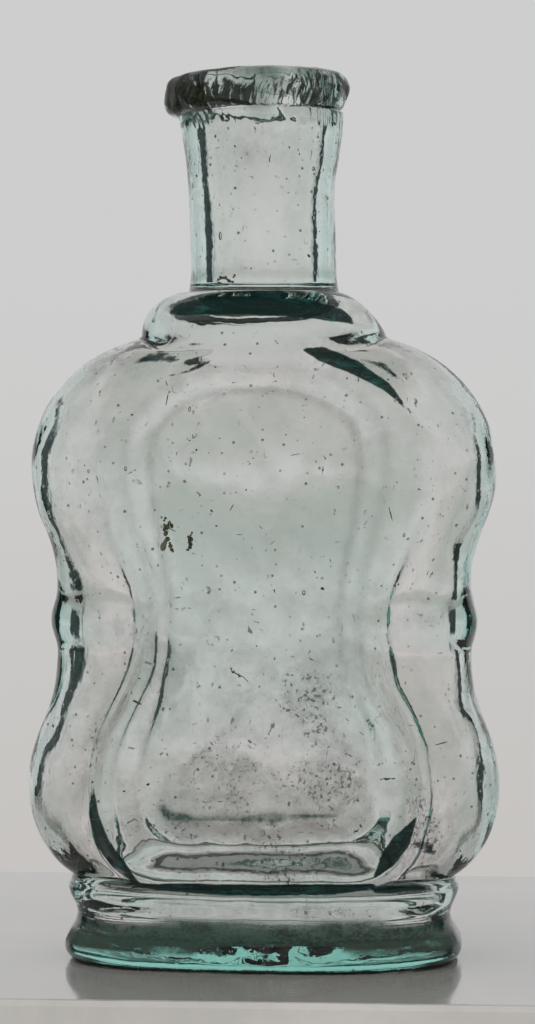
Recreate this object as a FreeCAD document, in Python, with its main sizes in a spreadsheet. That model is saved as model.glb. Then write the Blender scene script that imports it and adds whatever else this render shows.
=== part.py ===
import FreeCAD
import Part
import Sketcher
import math
import os

# Cologne bottle of mould-blown glass.
# Millimetres, +Z up, front facing -Y, origin on the ground under the middle of the foot.

# Driving dimensions: name, value, what it measures
SIZES = (
    ("foot_height", 11.0, "ground to the groove over the foot"),
    ("foot_half_width", 27.0, "foot at its widest line"),
    ("foot_half_depth", 17.0, "foot at its widest line"),
    ("foot_edge_height", 2.0, "ground to the widest line of the foot"),
    ("foot_edge_inset", 2.2, "how far the bottom edge rolls under"),
    ("foot_waist_height", 6.2, "ground to the hollow of the foot"),
    ("foot_waist_inset", 1.6, "depth of the hollow of the foot"),
    ("foot_bead_height", 9.6, "ground to the bead at the top of the foot"),
    ("foot_bead_inset", 0.5, "bead, in from the widest line"),
    ("foot_top_inset", 1.3, "top face of the foot, in from the widest line"),
    ("bulge_rise", 12.0, "top of the foot to the widest line of the lower bulge"),
    ("bulge_half_width", 32.0, "lower bulge"),
    ("bulge_half_depth", 14.2, "side walls at the lower bulge"),
    ("groove_inset", 1.7, "side walls at the top of the foot, in from the foot's widest line"),
    ("bulge_round_margin", 1.2, "round under the lower bulge, past the top of the foot"),
    ("lower_sweep", 17.8, "height of the curve from the lower bulge to the waist"),
    ("waist_half_width", 28.1, "side walls at the waist"),
    ("waist_length", 9.7, "straight stretch at the waist"),
    ("bead_rise", 0.85, "ring bead at the waist, proud of the wall"),
    ("bead_half_length", 4.2, "ring bead at the waist"),
    ("upper_sweep", 16.0, "height of the curve from the waist to the upper bulge"),
    ("upper_half_width", 31.5, "upper bulge"),
    ("shoulder_round_width", 19.5, "half axis of the shoulder round"),
    ("shoulder_round_rise", 17.8, "half axis of the shoulder round"),
    ("shoulder_rise", 17.5, "upper bulge to the foot of the collar"),
    ("collar_half_width", 16.7, "domed collar"),
    ("collar_half_depth", 13.6, "domed collar"),
    ("collar_rise", 6.0, "foot of the collar to the root of the neck"),
    ("collar_skirt", 4.0, "straight skirt of the collar inside the shoulder"),
    ("lobe_half_depth", 16.2, "raised front and back"),
    ("lobe_round", 3.2, "rounded edge of the raised front and back"),
    ("lobe_sink", 0.4, "raised front and back, start this far under the top of the foot"),
    ("lobe_lift", 1.5, "panel outlines are widest this much over the upper bulge"),
    ("lobe_upper_half_width", 21.4, "outer outline"),
    ("lobe_waist_half_width", 15.8, "outer outline"),
    ("lobe_lower_half_width", 22.1, "outer outline"),
    ("lobe_upper_corner", 14.0, "width of the outer outline's upper corner"),
    ("lobe_lower_corner", 8.0, "width of the outer outline's lower corner"),
    ("lobe_top_rise", 14.0, "outer outline, over its widest line"),
    ("rim_upper_half_width", 17.3, "outer edge of the bevel"),
    ("rim_waist_half_width", 13.6, "outer edge of the bevel"),
    ("rim_lower_half_width", 18.7, "outer edge of the bevel"),
    ("rim_upper_corner", 13.5, "width of the bevel's upper corner"),
    ("rim_lower_corner", 6.7, "width of the bevel's lower corner"),
    ("rim_top_rise", 11.4, "outer edge of the bevel, over its widest line"),
    ("rim_bottom_drop", 9.0, "outer edge of the bevel, under the lower bulge"),
    ("field_upper_half_width", 13.8, "label field"),
    ("field_waist_half_width", 11.1, "label field"),
    ("field_lower_half_width", 15.3, "label field"),
    ("field_upper_corner", 12.4, "width of the label field's upper corner"),
    ("field_lower_corner", 5.2, "width of the label field's lower corner"),
    ("field_top_rise", 8.6, "label field, over its widest line"),
    ("field_bottom_drop", 6.3, "label field, under the lower bulge"),
    ("field_recess", 1.3, "depth of the sunken label field"),
    ("side_wall", 2.3, "glass at the sides"),
    ("panel_wall", 1.6, "glass behind the label field"),
    ("floor_glass", 3.0, "glass under the inside floor"),
    ("heel_round_width", 5.0, "rounded corner of the inside floor"),
    ("heel_round_rise", 6.0, "rounded corner of the inside floor"),
    ("heel_half_depth", 12.0, "inside at the top of the foot"),
    ("funnel_drop", 11.0, "height over which the inside narrows to the neck"),
    ("mound_half_width", 9.0, "mound on the inside floor"),
    ("mound_half_depth", 5.5, "mound on the inside floor"),
    ("mound_rise", 1.8, "mound on the inside floor"),
    ("push_up_half_width", 17.0, "dish under the foot"),
    ("push_up_half_depth", 9.5, "dish under the foot"),
    ("push_up_rise", 1.7, "dish under the foot"),
    ("scar_radius", 5.4, "ring of the scar, to the middle of its glass"),
    ("scar_thickness", 0.9, "radius of the scar's glass"),
    ("scar_sink", 0.2, "middle of the scar's glass, under the roof of the dish"),
    ("neck_length", 30.0, "root of the neck to the top of the mouth"),
    ("bore_radius", 7.1, "straight bore"),
    ("bore_start", 4.5, "root of the neck to the straight bore"),
    ("bore_length", 12.0, "straight bore"),
    ("root_taper", 0.4, "bore narrows by this to the root of the neck"),
    ("neck_wall", 2.75, "glass at the straight bore"),
    ("root_flare", 0.35, "neck widens by this to its root"),
    ("root_blend", 3.0, "height of the widening at the root"),
    ("neck_straight", 10.0, "straight stretch of the neck"),
    ("flare_width", 1.05, "neck widens by this to the lip"),
    ("flare_curve", 66.0, "radius of the curve up to the lip"),
    ("mouth_flare", 1.4, "bore widens by this to the mouth"),
    ("mouth_curve", 60.0, "radius of the widening bore"),
    ("mouth_depth", 1.7, "top of the mouth to the widened bore"),
    ("rim_width", 1.2, "widened bore to the top line of the mouth"),
    ("rim_drop", 0.25, "top line of the mouth to the seam with the lip"),
    ("rim_inner_round", 2.0, "round from the mouth to its top line"),
    ("rim_outer_round", 4.0, "round from the top line to the seam with the lip"),
    ("lip_height", 5.4, "applied ring lip"),
    ("lip_foot_width", 0.7, "underside of the ring lip"),
    ("lip_width", 1.7, "ring lip, out from its seat"),
    ("lip_bulge_drop", 3.3, "top of the mouth to the lip's full width"),
    ("lip_shoulder_drop", 1.7, "top of the mouth to where the lip turns in"),
    ("lip_lower_round", 2.6, "round under the lip"),
    ("lip_upper_round", 2.6, "round over the lip"),
)

# Shapes of the oval sections: 2 is an ellipse, more is squarer
FOOT_POWER = 3.4
WING_POWER = 2.9
LOBE_POWER = 7.0
COLLAR_POWER = 2.3
CAVITY_POWER = 2.6
ROUND_POWER = 2.0
# How sharply the raised front meets the side walls
JOIN_POWER = 22.0
OVAL_POINTS = 36
BODY_POINTS = 72

# Numbers of sections along each stretch of a loft
FOOT_STEPS = 3
ROUND_STEPS = 10
SWEEP_STEPS = 6
WAIST_STEPS = 12
CAVITY_WAIST_STEPS = 2
FUNNEL_STEPS = 8


# Sheet of sizes

def make_sheet(doc):
    """Writes the sizes to a sheet and returns their values by name."""
    sheet = doc.addObject("Spreadsheet::Sheet", "Sizes")
    for row, (name, value, note) in enumerate(SIZES, start=1):
        sheet.set(f"A{row}", name)
        sheet.set(f"B{row}", str(value))
        sheet.set(f"C{row}", note)
        sheet.setAlias(f"B{row}", name)
    doc.recompute()
    return {name: float(sheet.get(name)) for name, value, note in SIZES}


def total(formula):
    """Value of a sum of sizes, such as 'neck_length - lip_height'. An empty sum is zero."""
    result = 0.0
    sign = 1
    for word in formula.split():
        if word in ("+", "-"):
            sign = 1 if word == "+" else -1
        else:
            result += sign * size[word]
    return result


def linked(formula):
    """The same sum, as an expression on the sheet."""
    words = [word if word in ("+", "-") else f"Sizes.{word}" for word in formula.split()]
    return " ".join(words)


# Heights of the main lines, as sums of sizes

FOOT_TOP = "foot_height"
BULGE_LINE = FOOT_TOP + " + bulge_rise"
WAIST_FOOT = BULGE_LINE + " + lower_sweep"
WAIST_HEAD = WAIST_FOOT + " + waist_length"
UPPER_LINE = WAIST_HEAD + " + upper_sweep"
COLLAR_FOOT = UPPER_LINE + " + shoulder_rise"
NECK_ROOT = COLLAR_FOOT + " + collar_rise"
PANEL_LINE = UPPER_LINE + " + lobe_lift"
ROUND_DROP = "bulge_rise + bulge_round_margin"
ROOT_BORE = "bore_radius - root_taper"
ROOT_RADIUS = "bore_radius + neck_wall + root_flare"
LIP_SEAT = "bore_radius + neck_wall + flare_width"


# Section and profile formulas

def reach(across, deep, half_width, half_depth, power):
    """How many times a direction fits into a squared oval: (|x / w|^p + |y / d|^p)^(-1/p)."""
    return (abs(across / half_width) ** power + abs(deep / half_depth) ** power) ** (-1 / power)


def closed_wire(points):
    """Smooth closed curve through points, with the same even knots in every section of a loft."""
    curve = Part.BSplineCurve()
    curve.interpolate(Points=points, PeriodicFlag=True, Parameters=list(range(len(points) + 1)))
    return Part.Wire([curve.toShape()])


def oval(half_width, half_depth, height, power):
    """Smooth closed section on the squared oval |x / w|^p + |y / d|^p = 1."""
    points = []
    for index in range(OVAL_POINTS):
        angle = 2 * math.pi * index / OVAL_POINTS
        across, deep = half_width * math.cos(angle), half_depth * math.sin(angle)
        swell = reach(across, deep, half_width, half_depth, power)
        points.append(FreeCAD.Vector(across * swell, deep * swell, height))
    return closed_wire(points)


def ease(share):
    """Rises smoothly from 0 to 1, level at both ends."""
    return (1 - math.cos(math.pi * min(max(share, 0), 1))) / 2


def mix(start, end, share):
    return start + (end - start) * share


def quarter(axis_across, axis_up, up):
    """How far a quarter ellipse stands out at a height from its widest line."""
    return axis_across * math.sqrt(max(0, 1 - (up / axis_up) ** 2))


def double_arc(start, end, length, along):
    """Curve of two equal arcs from start to end, upright at both ends."""
    shift = end - start
    if shift == 0:
        return start
    radius = (length ** 2 + shift ** 2) / (4 * abs(shift))
    from_end = min(along, length - along)
    sag = radius - math.sqrt(radius ** 2 - from_end ** 2)
    side = math.copysign(1, shift)
    return start + side * sag if along < length / 2 else end - side * sag


def hourglass(height):
    """Half width of the side walls, without the ring bead."""
    bulge, upper = size["bulge_half_width"], size["upper_half_width"]
    waist = size["waist_half_width"]
    if height < total(BULGE_LINE):
        # the quarter ellipse that passes through the groove over the foot
        round_drop = total(ROUND_DROP)
        groove_share = quarter(1, round_drop, size["bulge_rise"])
        groove = size["foot_half_width"] - size["groove_inset"]
        round_width = (bulge - groove) / (1 - groove_share)
        return bulge - round_width + quarter(round_width, round_drop, total(BULGE_LINE) - height)
    if height < total(WAIST_FOOT):
        return double_arc(bulge, waist, size["lower_sweep"], height - total(BULGE_LINE))
    if height < total(WAIST_HEAD):
        return waist
    if height < total(UPPER_LINE):
        return double_arc(waist, upper, size["upper_sweep"], height - total(WAIST_HEAD))
    core = upper - size["shoulder_round_width"]
    rise = height - total(UPPER_LINE)
    return core + quarter(size["shoulder_round_width"], size["shoulder_round_rise"], rise)


def bead(height):
    """How far the ring bead stands proud: one wave of a raised cosine about the middle of the waist."""
    away = abs(height - (total(WAIST_FOOT) + total(WAIST_HEAD)) / 2) / size["bead_half_length"]
    return size["bead_rise"] * (1 - ease(away))


def foot_lines():
    """Height and inset of each line of the foot, from the ground up."""
    return (
        (0, size["foot_edge_inset"]),
        (size["foot_edge_height"], 0),
        (size["foot_waist_height"], size["foot_waist_inset"]),
        (size["foot_bead_height"], size["foot_bead_inset"]),
        (size["foot_height"], size["foot_top_inset"]),
    )


def foot_inset(height):
    """How far the foot stands in: a quarter round at the ground, then eased from line to line."""
    lines = foot_lines()
    for (low, inset_low), (high, inset_high) in zip(lines, lines[1:]):
        share = (height - low) / (high - low)
        if low == 0 and share < 1:
            return quarter(inset_low, 1, 0) - quarter(inset_low, 1, 1 - share)
        if share <= 1:
            return mix(inset_low, inset_high, ease(share))
    return lines[-1][1]


def steps(low, high, count, first=False):
    """Even heights from low to high, leaving out low unless it is the first."""
    return [mix(low, high, index / count) for index in range(0 if first else 1, count + 1)]


def arc_steps(start, end, reach, count):
    """Heights between a widest line and a cut, closer together where a round turns in."""
    last = math.asin(min(1, abs(end - start) / reach))
    side = math.copysign(reach, end - start)
    return [start + side * math.sin(last * index / count) for index in range(1, count + 1)]


def add_shape(doc, name, shape):
    feature = doc.addObject("Part::Feature", name)
    feature.Shape = shape
    return feature


# Moulded body

def foot_solid():
    """Flared foot: ovals that follow the inset of each line."""
    lines = foot_lines()
    heights = [0]
    for (low, _), (high, _) in zip(lines, lines[1:]):
        heights += steps(low, high, FOOT_STEPS)
    wires = []
    for height in heights:
        half_width = size["foot_half_width"] - foot_inset(height)
        half_depth = size["foot_half_depth"] - foot_inset(height)
        wires.append(oval(half_width, half_depth, height, FOOT_POWER))
    return Part.makeLoft(wires, True, False)


def lobe_half_width(height):
    """Half width of the raised front: quarter ellipse corners, and sides drawn in at the waist."""
    upper, lower = size["lobe_upper_half_width"], size["lobe_lower_half_width"]
    waist = size["lobe_waist_half_width"]
    low, high = total(BULGE_LINE), total(PANEL_LINE)
    middle = (total(WAIST_FOOT) + total(WAIST_HEAD)) / 2
    if height < low:
        corner = size["lobe_lower_corner"]
        drop = low - total(FOOT_TOP) + size["lobe_sink"]
        return lower - corner + quarter(corner, drop, min(low - height, drop))
    if height < middle:
        return double_arc(lower, waist, middle - low, height - low)
    if height < high:
        return double_arc(waist, upper, high - middle, height - middle)
    corner, rise = size["lobe_upper_corner"], size["lobe_top_rise"]
    return upper - corner + quarter(corner, rise, min(height - high, rise))


def lobe_half_depth(height):
    """Half depth of the raised front, rounded in at its top and bottom lines."""
    edge = size["lobe_round"]
    from_bottom = height - total(FOOT_TOP) + size["lobe_sink"]
    from_top = total(PANEL_LINE) + size["lobe_top_rise"] - height
    away = min(max(min(from_bottom, from_top), 0), edge)
    return size["lobe_half_depth"] - edge + quarter(edge, edge, edge - away)


def body_section(height):
    """Side walls and raised front in one outline: the smooth union of their two squared ovals."""
    depth_share = size["bulge_half_depth"] / size["bulge_half_width"]
    wall_width = hourglass(height) + bead(height)
    wall_depth = hourglass(height) * depth_share + bead(height)
    width, depth = lobe_half_width(height), lobe_half_depth(height)
    points = []
    for index in range(BODY_POINTS):
        angle = 2 * math.pi * index / BODY_POINTS
        across, deep = wall_width * math.cos(angle), wall_depth * math.sin(angle)
        wall = reach(across, deep, wall_width, wall_depth, WING_POWER)
        lobe = reach(across, deep, width, depth, LOBE_POWER)
        outer = (wall ** JOIN_POWER + lobe ** JOIN_POWER) ** (1 / JOIN_POWER)
        points.append(FreeCAD.Vector(across * outer, deep * outer, height))
    return closed_wire(points)


def wall_solid():
    """Hourglass walls with the ring bead and the raised front and back, from the foot to the collar."""
    start = total(FOOT_TOP) - size["lobe_sink"]
    heights = arc_steps(total(BULGE_LINE), start, total(ROUND_DROP), ROUND_STEPS)[::-1]
    heights += steps(total(BULGE_LINE), total(WAIST_FOOT), SWEEP_STEPS, first=True)
    heights += steps(total(WAIST_FOOT), total(WAIST_HEAD), WAIST_STEPS)
    heights += steps(total(WAIST_HEAD), total(UPPER_LINE), SWEEP_STEPS)
    heights += arc_steps(total(UPPER_LINE), total(COLLAR_FOOT), size["shoulder_round_rise"], ROUND_STEPS)
    return Part.makeLoft([body_section(height) for height in heights], True, False)


def collar_solid():
    """Domed collar: an oval skirt, then a quarter round that closes to the circle of the neck."""
    radius = total(ROOT_RADIUS)
    foot = total(COLLAR_FOOT)
    width, depth = size["collar_half_width"], size["collar_half_depth"]
    wires = [
        oval(width, depth, foot - size["collar_skirt"], COLLAR_POWER),
        oval(width, depth, foot - size["collar_skirt"] / 2, COLLAR_POWER),
    ]
    for index in range(ROUND_STEPS + 1):
        angle = math.pi / 2 * index / ROUND_STEPS
        share = math.cos(angle)
        power = mix(ROUND_POWER, COLLAR_POWER, share)
        height = foot + size["collar_rise"] * math.sin(angle)
        wires.append(oval(mix(radius, width, share), mix(radius, depth, share), height, power))
    return Part.makeLoft(wires, True, False)


def corner_edge(centre, across, up):
    """Quarter ellipse in the XZ plane about centre, from its lowest or highest point to its side."""
    side = centre + FreeCAD.Vector(across, 0, 0)
    tip = centre + FreeCAD.Vector(0, 0, up)
    long_end, short_end = (side, tip) if abs(across) >= abs(up) else (tip, side)
    ellipse = Part.Ellipse(long_end, short_end, centre)
    middle = centre + FreeCAD.Vector(across, 0, up) * math.sqrt(0.5)
    start, end = ellipse.parameter(tip), ellipse.parameter(side)
    turn = (end - start) % (2 * math.pi)
    to_middle = (ellipse.parameter(middle) - start) % (2 * math.pi)
    if to_middle > turn:
        start, end = end, start
    return Part.ArcOfEllipse(ellipse, start, end).toShape()


def sweep_edges(start, end):
    """Two equal tangent arcs in the XZ plane, upright at both ends."""
    length = end.z - start.z
    middle = (start + end) / 2
    edges = []
    for low, high in ((start, middle), (middle, end)):
        height = (low.z + high.z) / 2
        across = double_arc(start.x, end.x, length, height - start.z)
        edges.append(Part.Arc(low, FreeCAD.Vector(across, start.y, height), high).toShape())
    return edges


def waisted_wire(upper, waist, lower, upper_corner, lower_corner, top, bottom, depth):
    """Upright outline of a panel: flat ends, quarter ellipse corners, and sides drawn in at the waist."""
    high, low = total(PANEL_LINE), total(BULGE_LINE)
    middle = (total(WAIST_FOOT) + total(WAIST_HEAD)) / 2

    def place(across, height):
        return FreeCAD.Vector(across, depth, height)

    edges = []
    for side in (1, -1):
        core = place(side * (lower - lower_corner), low)
        edges.append(corner_edge(core, side * lower_corner, bottom - low))
        edges += sweep_edges(place(side * lower, low), place(side * waist, middle))
        edges += sweep_edges(place(side * waist, middle), place(side * upper, high))
        core = place(side * (upper - upper_corner), high)
        edges.append(corner_edge(core, side * upper_corner, top - high))
    edges.append(Part.makeLine(place(lower_corner - lower, bottom), place(lower - lower_corner, bottom)))
    edges.append(Part.makeLine(place(upper_corner - upper, top), place(upper - upper_corner, top)))
    return Part.Wire(Part.__sortEdges__(edges))


def panel_sizes(prefix, top, bottom):
    """The seven numbers of one panel outline."""
    names = ("upper_half_width", "waist_half_width", "lower_half_width", "upper_corner", "lower_corner")
    return [size[f"{prefix}_{name}"] for name in names] + [top, bottom]


def field_cut():
    """Tool for the label field: a bevel from the rim outline in to the field outline."""
    rim = panel_sizes(
        "rim",
        total(PANEL_LINE) + size["rim_top_rise"],
        total(BULGE_LINE) - size["rim_bottom_drop"],
    )
    field = panel_sizes(
        "field",
        total(PANEL_LINE) + size["field_top_rise"],
        total(BULGE_LINE) - size["field_bottom_drop"],
    )
    # the bevel runs on past the face by its own depth
    outside = [2 * wide - narrow for wide, narrow in zip(rim, field)]
    face = -size["lobe_half_depth"]
    recess = size["field_recess"]
    wires = [waisted_wire(*outside, face - recess), waisted_wire(*field, face + recess)]
    return Part.makeLoft(wires, True, True)


def cavity_half_width(height):
    """Inside: a heel round, then the hourglass less its wall, then a smooth funnel to the bore."""
    top, start = total(NECK_ROOT), total(NECK_ROOT) - size["funnel_drop"]
    heel = hourglass(total(FOOT_TOP)) - size["side_wall"]
    if height < total(FOOT_TOP):
        up = size["floor_glass"] + size["heel_round_rise"] - height
        if up <= 0:
            return heel
        core = heel - size["heel_round_width"]
        return core + quarter(size["heel_round_width"], size["heel_round_rise"], up)
    if height <= start:
        return hourglass(height) - size["side_wall"] - shoulder_thickening(height)
    share = (height - start) / (top - start)
    wide = cavity_half_width(start)
    slope = (wide - cavity_half_width(start - size["side_wall"])) / size["side_wall"] * (top - start)
    narrow = total(ROOT_BORE)
    return (
        wide * (2 * share ** 3 - 3 * share ** 2 + 1)
        + narrow * (3 * share ** 2 - 2 * share ** 3)
        + slope * (share ** 3 - 2 * share ** 2 + share)
    )


def shoulder_thickening(height):
    """The glass gathers under the collar, where the wall is measured across the turning round."""
    up = height - total(UPPER_LINE)
    return size["side_wall"] * max(0, up / size["shoulder_round_rise"]) ** 2


def cavity_half_depth(height, half_width):
    """Inside depth: its share of the width eases from the heel to the walls and on to a circle."""
    wall_share = (size["lobe_half_depth"] - size["field_recess"] - size["panel_wall"]) / (
        size["bulge_half_width"] - size["side_wall"]
    )
    heel_share = size["heel_half_depth"] / (hourglass(total(FOOT_TOP)) - size["side_wall"])
    if height < total(BULGE_LINE):
        up = (height - total(FOOT_TOP)) / size["bulge_rise"]
        return half_width * mix(heel_share, wall_share, ease(up))
    funnel_foot = total(NECK_ROOT) - size["funnel_drop"]
    return half_width * mix(wall_share, 1, ease((height - funnel_foot) / size["funnel_drop"]))


def cavity_solid():
    """Inside of the body, from its floor to the root of the neck."""
    floor, top = size["floor_glass"], total(NECK_ROOT)
    corner = floor + size["heel_round_rise"]
    heights = [floor] + arc_steps(corner, floor, size["heel_round_rise"], SWEEP_STEPS)[-2::-1] + [corner]
    heights += steps(corner, total(FOOT_TOP), 1)
    heights += steps(total(FOOT_TOP), total(BULGE_LINE), SWEEP_STEPS)
    heights += steps(total(BULGE_LINE), total(WAIST_FOOT), SWEEP_STEPS)
    heights += steps(total(WAIST_FOOT), total(WAIST_HEAD), CAVITY_WAIST_STEPS)
    heights += steps(total(WAIST_HEAD), total(UPPER_LINE), SWEEP_STEPS)
    heights += steps(total(UPPER_LINE), top - size["funnel_drop"], SWEEP_STEPS)
    heights += steps(top - size["funnel_drop"], top, FUNNEL_STEPS)
    wires = []
    for height in heights:
        half_width = cavity_half_width(height)
        squareness = ease((height - total(UPPER_LINE)) / (top - total(UPPER_LINE)))
        power = mix(CAVITY_POWER, ROUND_POWER, squareness)
        wires.append(oval(half_width, cavity_half_depth(height, half_width), height, power))
    return Part.makeLoft(wires, True, False)


def ellipsoid(doc, name, half_width, half_depth, half_height, height):
    """Ellipsoid on the bottle's axis, with its three half axes bound to the sheet."""
    shape = doc.addObject("Part::Ellipsoid", name)
    shape.setExpression("Radius1", linked(half_height))
    shape.setExpression("Radius2", linked(half_width))
    shape.setExpression("Radius3", linked(half_depth))
    if height:
        shape.setExpression("Placement.Base.z", linked(height))
    shape.Angle1 = -90
    return shape


def boolean(doc, kind, name, base, tool):
    result = doc.addObject(kind, name)
    result.Base = base
    result.Tool = tool
    return result


def moulded_body(doc):
    """Foot, side walls, collar and raised panels in one, hollowed, with a mound inside and a dish below."""
    foot = add_shape(doc, "foot", foot_solid())
    walls = add_shape(doc, "walls", wall_solid())
    collar = add_shape(doc, "collar", collar_solid())
    footed = boolean(doc, "Part::Fuse", "footed", foot, walls)
    outside = boolean(doc, "Part::Fuse", "outside", footed, collar)
    front = add_shape(doc, "front_field", field_cut())
    back = doc.addObject("Part::Mirroring", "back_field")
    back.Source = front
    back.Normal = FreeCAD.Vector(0, 1, 0)
    fronted = boolean(doc, "Part::Cut", "front_sunk", outside, front)
    backed = boolean(doc, "Part::Cut", "back_sunk", fronted, back)
    cavity = add_shape(doc, "cavity", cavity_solid())
    hollow = boolean(doc, "Part::Cut", "hollow", backed, cavity)
    mound = ellipsoid(doc, "mound", "mound_half_width", "mound_half_depth", "mound_rise", "floor_glass")
    floored = boolean(doc, "Part::Fuse", "floored", hollow, mound)
    dish = ellipsoid(doc, "dish", "push_up_half_width", "push_up_half_depth", "push_up_rise", "")
    body = boolean(doc, "Part::Cut", "moulded_body", floored, dish)
    body.Label = "moulded_body"
    return body


def pontil_scar(doc, body):
    """Ring of glass left by the pontil rod, seated in the roof of the dish and clear of the ground."""
    ring = doc.addObject("Part::Torus", "scar_ring")
    ring.setExpression("Radius1", "Sizes.scar_radius")
    ring.setExpression("Radius2", "Sizes.scar_thickness")
    ring.setExpression("Placement.Base.z", linked("push_up_rise - scar_sink"))
    scar = boolean(doc, "Part::Cut", "pontil_scar", ring, body)
    scar.Label = "pontil_scar"
    return scar


# Turned pieces of the neck

def origin_plane(body, role):
    return next(feature for feature in body.Origin.OriginFeatures if feature.Role == role)


def side_curve(start, end, bend):
    """One side of a profile: a line, or an arc with its centre on the left (1) or right (-1) of its way."""
    if bend is None:
        return Part.LineSegment(start, end), 1, 2
    radius_name, side = bend
    radius = size[radius_name]
    chord = end - start
    half = chord.Length / 2
    normal = FreeCAD.Vector(-chord.y, chord.x, 0).normalize() * side
    centre = (start + end) / 2 + normal * math.sqrt(radius ** 2 - half ** 2)
    circle = Part.Circle(centre, FreeCAD.Vector(0, 0, 1), radius)
    first, last = (start, end) if side > 0 else (end, start)
    angles = [math.atan2((point - centre).y, (point - centre).x) for point in (first, last)]
    ends = (1, 2) if side > 0 else (2, 1)
    return Part.ArcOfCircle(circle, *angles), *ends


def turned_piece(doc, name, corners):
    """Body turned about Z from corners, each a radius, a height and the bend of the side that follows."""
    body = doc.addObject("PartDesign::Body", name)
    body.Label = name
    sketch = body.newObject("Sketcher::SketchObject", name + "_profile")
    sketch.AttachmentSupport = [(origin_plane(body, "XZ_Plane"), "")]
    sketch.MapMode = "FlatFace"
    points = [FreeCAD.Vector(total(radius), total(height), 0) for radius, height, bend in corners]
    ends = []
    for index, (radius, height, bend) in enumerate(corners):
        curve, first, last = side_curve(points[index], points[(index + 1) % len(points)], bend)
        side = sketch.addGeometry(curve)
        ends.append((side, first, last))
    for index, (radius, height, bend) in enumerate(corners):
        side, first, last = ends[index]
        before, _, before_last = ends[index - 1]
        sketch.addConstraint(Sketcher.Constraint("Coincident", before, before_last, side, first))
        bind(sketch, "DistanceX", side, first, radius)
        if height:
            bind(sketch, "DistanceY", side, first, height)
        else:
            sketch.addConstraint(Sketcher.Constraint("PointOnObject", side, first, -1))
        if bend is not None:
            number = sketch.addConstraint(Sketcher.Constraint("Radius", side, size[bend[0]]))
            sketch.setExpression(f"Constraints[{number}]", linked(bend[0]))
    turn = body.newObject("PartDesign::Revolution", name + "_turn")
    turn.Profile = sketch
    turn.ReferenceAxis = (sketch, ["V_Axis"])
    turn.Angle = 360
    body.setExpression("Placement.Base.z", linked(NECK_ROOT))
    return body


def bind(sketch, kind, side, end, formula):
    """Holds one end of a side at a distance from the axes that the sheet gives."""
    number = sketch.addConstraint(Sketcher.Constraint(kind, -1, 1, side, end, total(formula)))
    sketch.setExpression(f"Constraints[{number}]", linked(formula))


def neck_tube(doc):
    """Neck with its bore, from the root up to the rounded mouth."""
    return turned_piece(doc, "neck_tube", (
        (ROOT_BORE, "", None),
        (ROOT_RADIUS, "", None),
        ("bore_radius + neck_wall", "root_blend", None),
        ("bore_radius + neck_wall", "root_blend + neck_straight", ("flare_curve", -1)),
        (LIP_SEAT, "neck_length - lip_height", None),
        (LIP_SEAT, "neck_length - rim_drop", ("rim_outer_round", 1)),
        ("bore_radius + mouth_flare + rim_width", "neck_length", ("rim_inner_round", 1)),
        ("bore_radius + mouth_flare", "neck_length - mouth_depth", ("mouth_curve", 1)),
        ("bore_radius", "bore_start + bore_length", None),
        ("bore_radius", "bore_start", None),
    ))


def ring_lip(doc):
    """Ring of glass laid round the mouth."""
    return turned_piece(doc, "ring_lip", (
        (LIP_SEAT, "neck_length - lip_height", None),
        (LIP_SEAT + " + lip_foot_width", "neck_length - lip_height", ("lip_lower_round", 1)),
        (LIP_SEAT + " + lip_width", "neck_length - lip_bulge_drop", None),
        (LIP_SEAT + " + lip_width", "neck_length - lip_shoulder_drop", ("lip_upper_round", 1)),
        (LIP_SEAT, "neck_length - rim_drop", None),
    ))


# Build, test and write

document = FreeCAD.newDocument("cologne_bottle")
size = make_sheet(document)
body_piece = moulded_body(document)
pieces = [body_piece, neck_tube(document), ring_lip(document), pontil_scar(document, body_piece)]
document.recompute()

for item in document.Objects:
    if "Invalid" in item.State or "Error" in item.State:
        raise RuntimeError(f"{item.Label} did not build: {item.State}")
for piece in pieces:
    if piece.Shape.isNull() or not piece.Shape.isValid() or not piece.Shape.Solids:
        raise RuntimeError(f"{piece.Label} has no sound shape")

os.makedirs("parts", exist_ok=True)
for piece in pieces:
    piece.Shape.exportStep(os.path.join("parts", piece.Label + ".step"))
    box = piece.Shape.BoundBox
    print(f"{piece.Label}: {len(piece.Shape.Solids)} solid, volume {piece.Shape.Volume:.1f}, "
          f"x {box.XMin:.2f} to {box.XMax:.2f}, y {box.YMin:.2f} to {box.YMax:.2f}, "
          f"z {box.ZMin:.2f} to {box.ZMax:.2f}")
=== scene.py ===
import math

import bpy
import numpy as np
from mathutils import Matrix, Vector


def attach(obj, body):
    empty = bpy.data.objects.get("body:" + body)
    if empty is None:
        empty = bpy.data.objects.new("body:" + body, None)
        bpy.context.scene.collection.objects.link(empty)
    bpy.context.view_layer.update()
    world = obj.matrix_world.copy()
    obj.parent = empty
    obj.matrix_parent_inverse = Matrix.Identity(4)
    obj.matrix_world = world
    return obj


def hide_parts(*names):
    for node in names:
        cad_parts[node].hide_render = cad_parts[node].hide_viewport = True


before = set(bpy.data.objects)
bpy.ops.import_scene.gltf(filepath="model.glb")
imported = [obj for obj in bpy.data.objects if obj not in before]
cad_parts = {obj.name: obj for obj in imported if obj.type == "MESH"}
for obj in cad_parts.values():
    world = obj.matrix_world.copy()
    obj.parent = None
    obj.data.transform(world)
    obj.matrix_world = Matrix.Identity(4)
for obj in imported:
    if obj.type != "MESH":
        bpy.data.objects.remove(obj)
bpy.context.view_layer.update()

# Cologne bottle of mould-blown aqua glass. Shape formulas are in millimetres, with the front facing -Y.
MM = 0.001
TAU = 2 * math.pi


# Sizes of the glass

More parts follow.
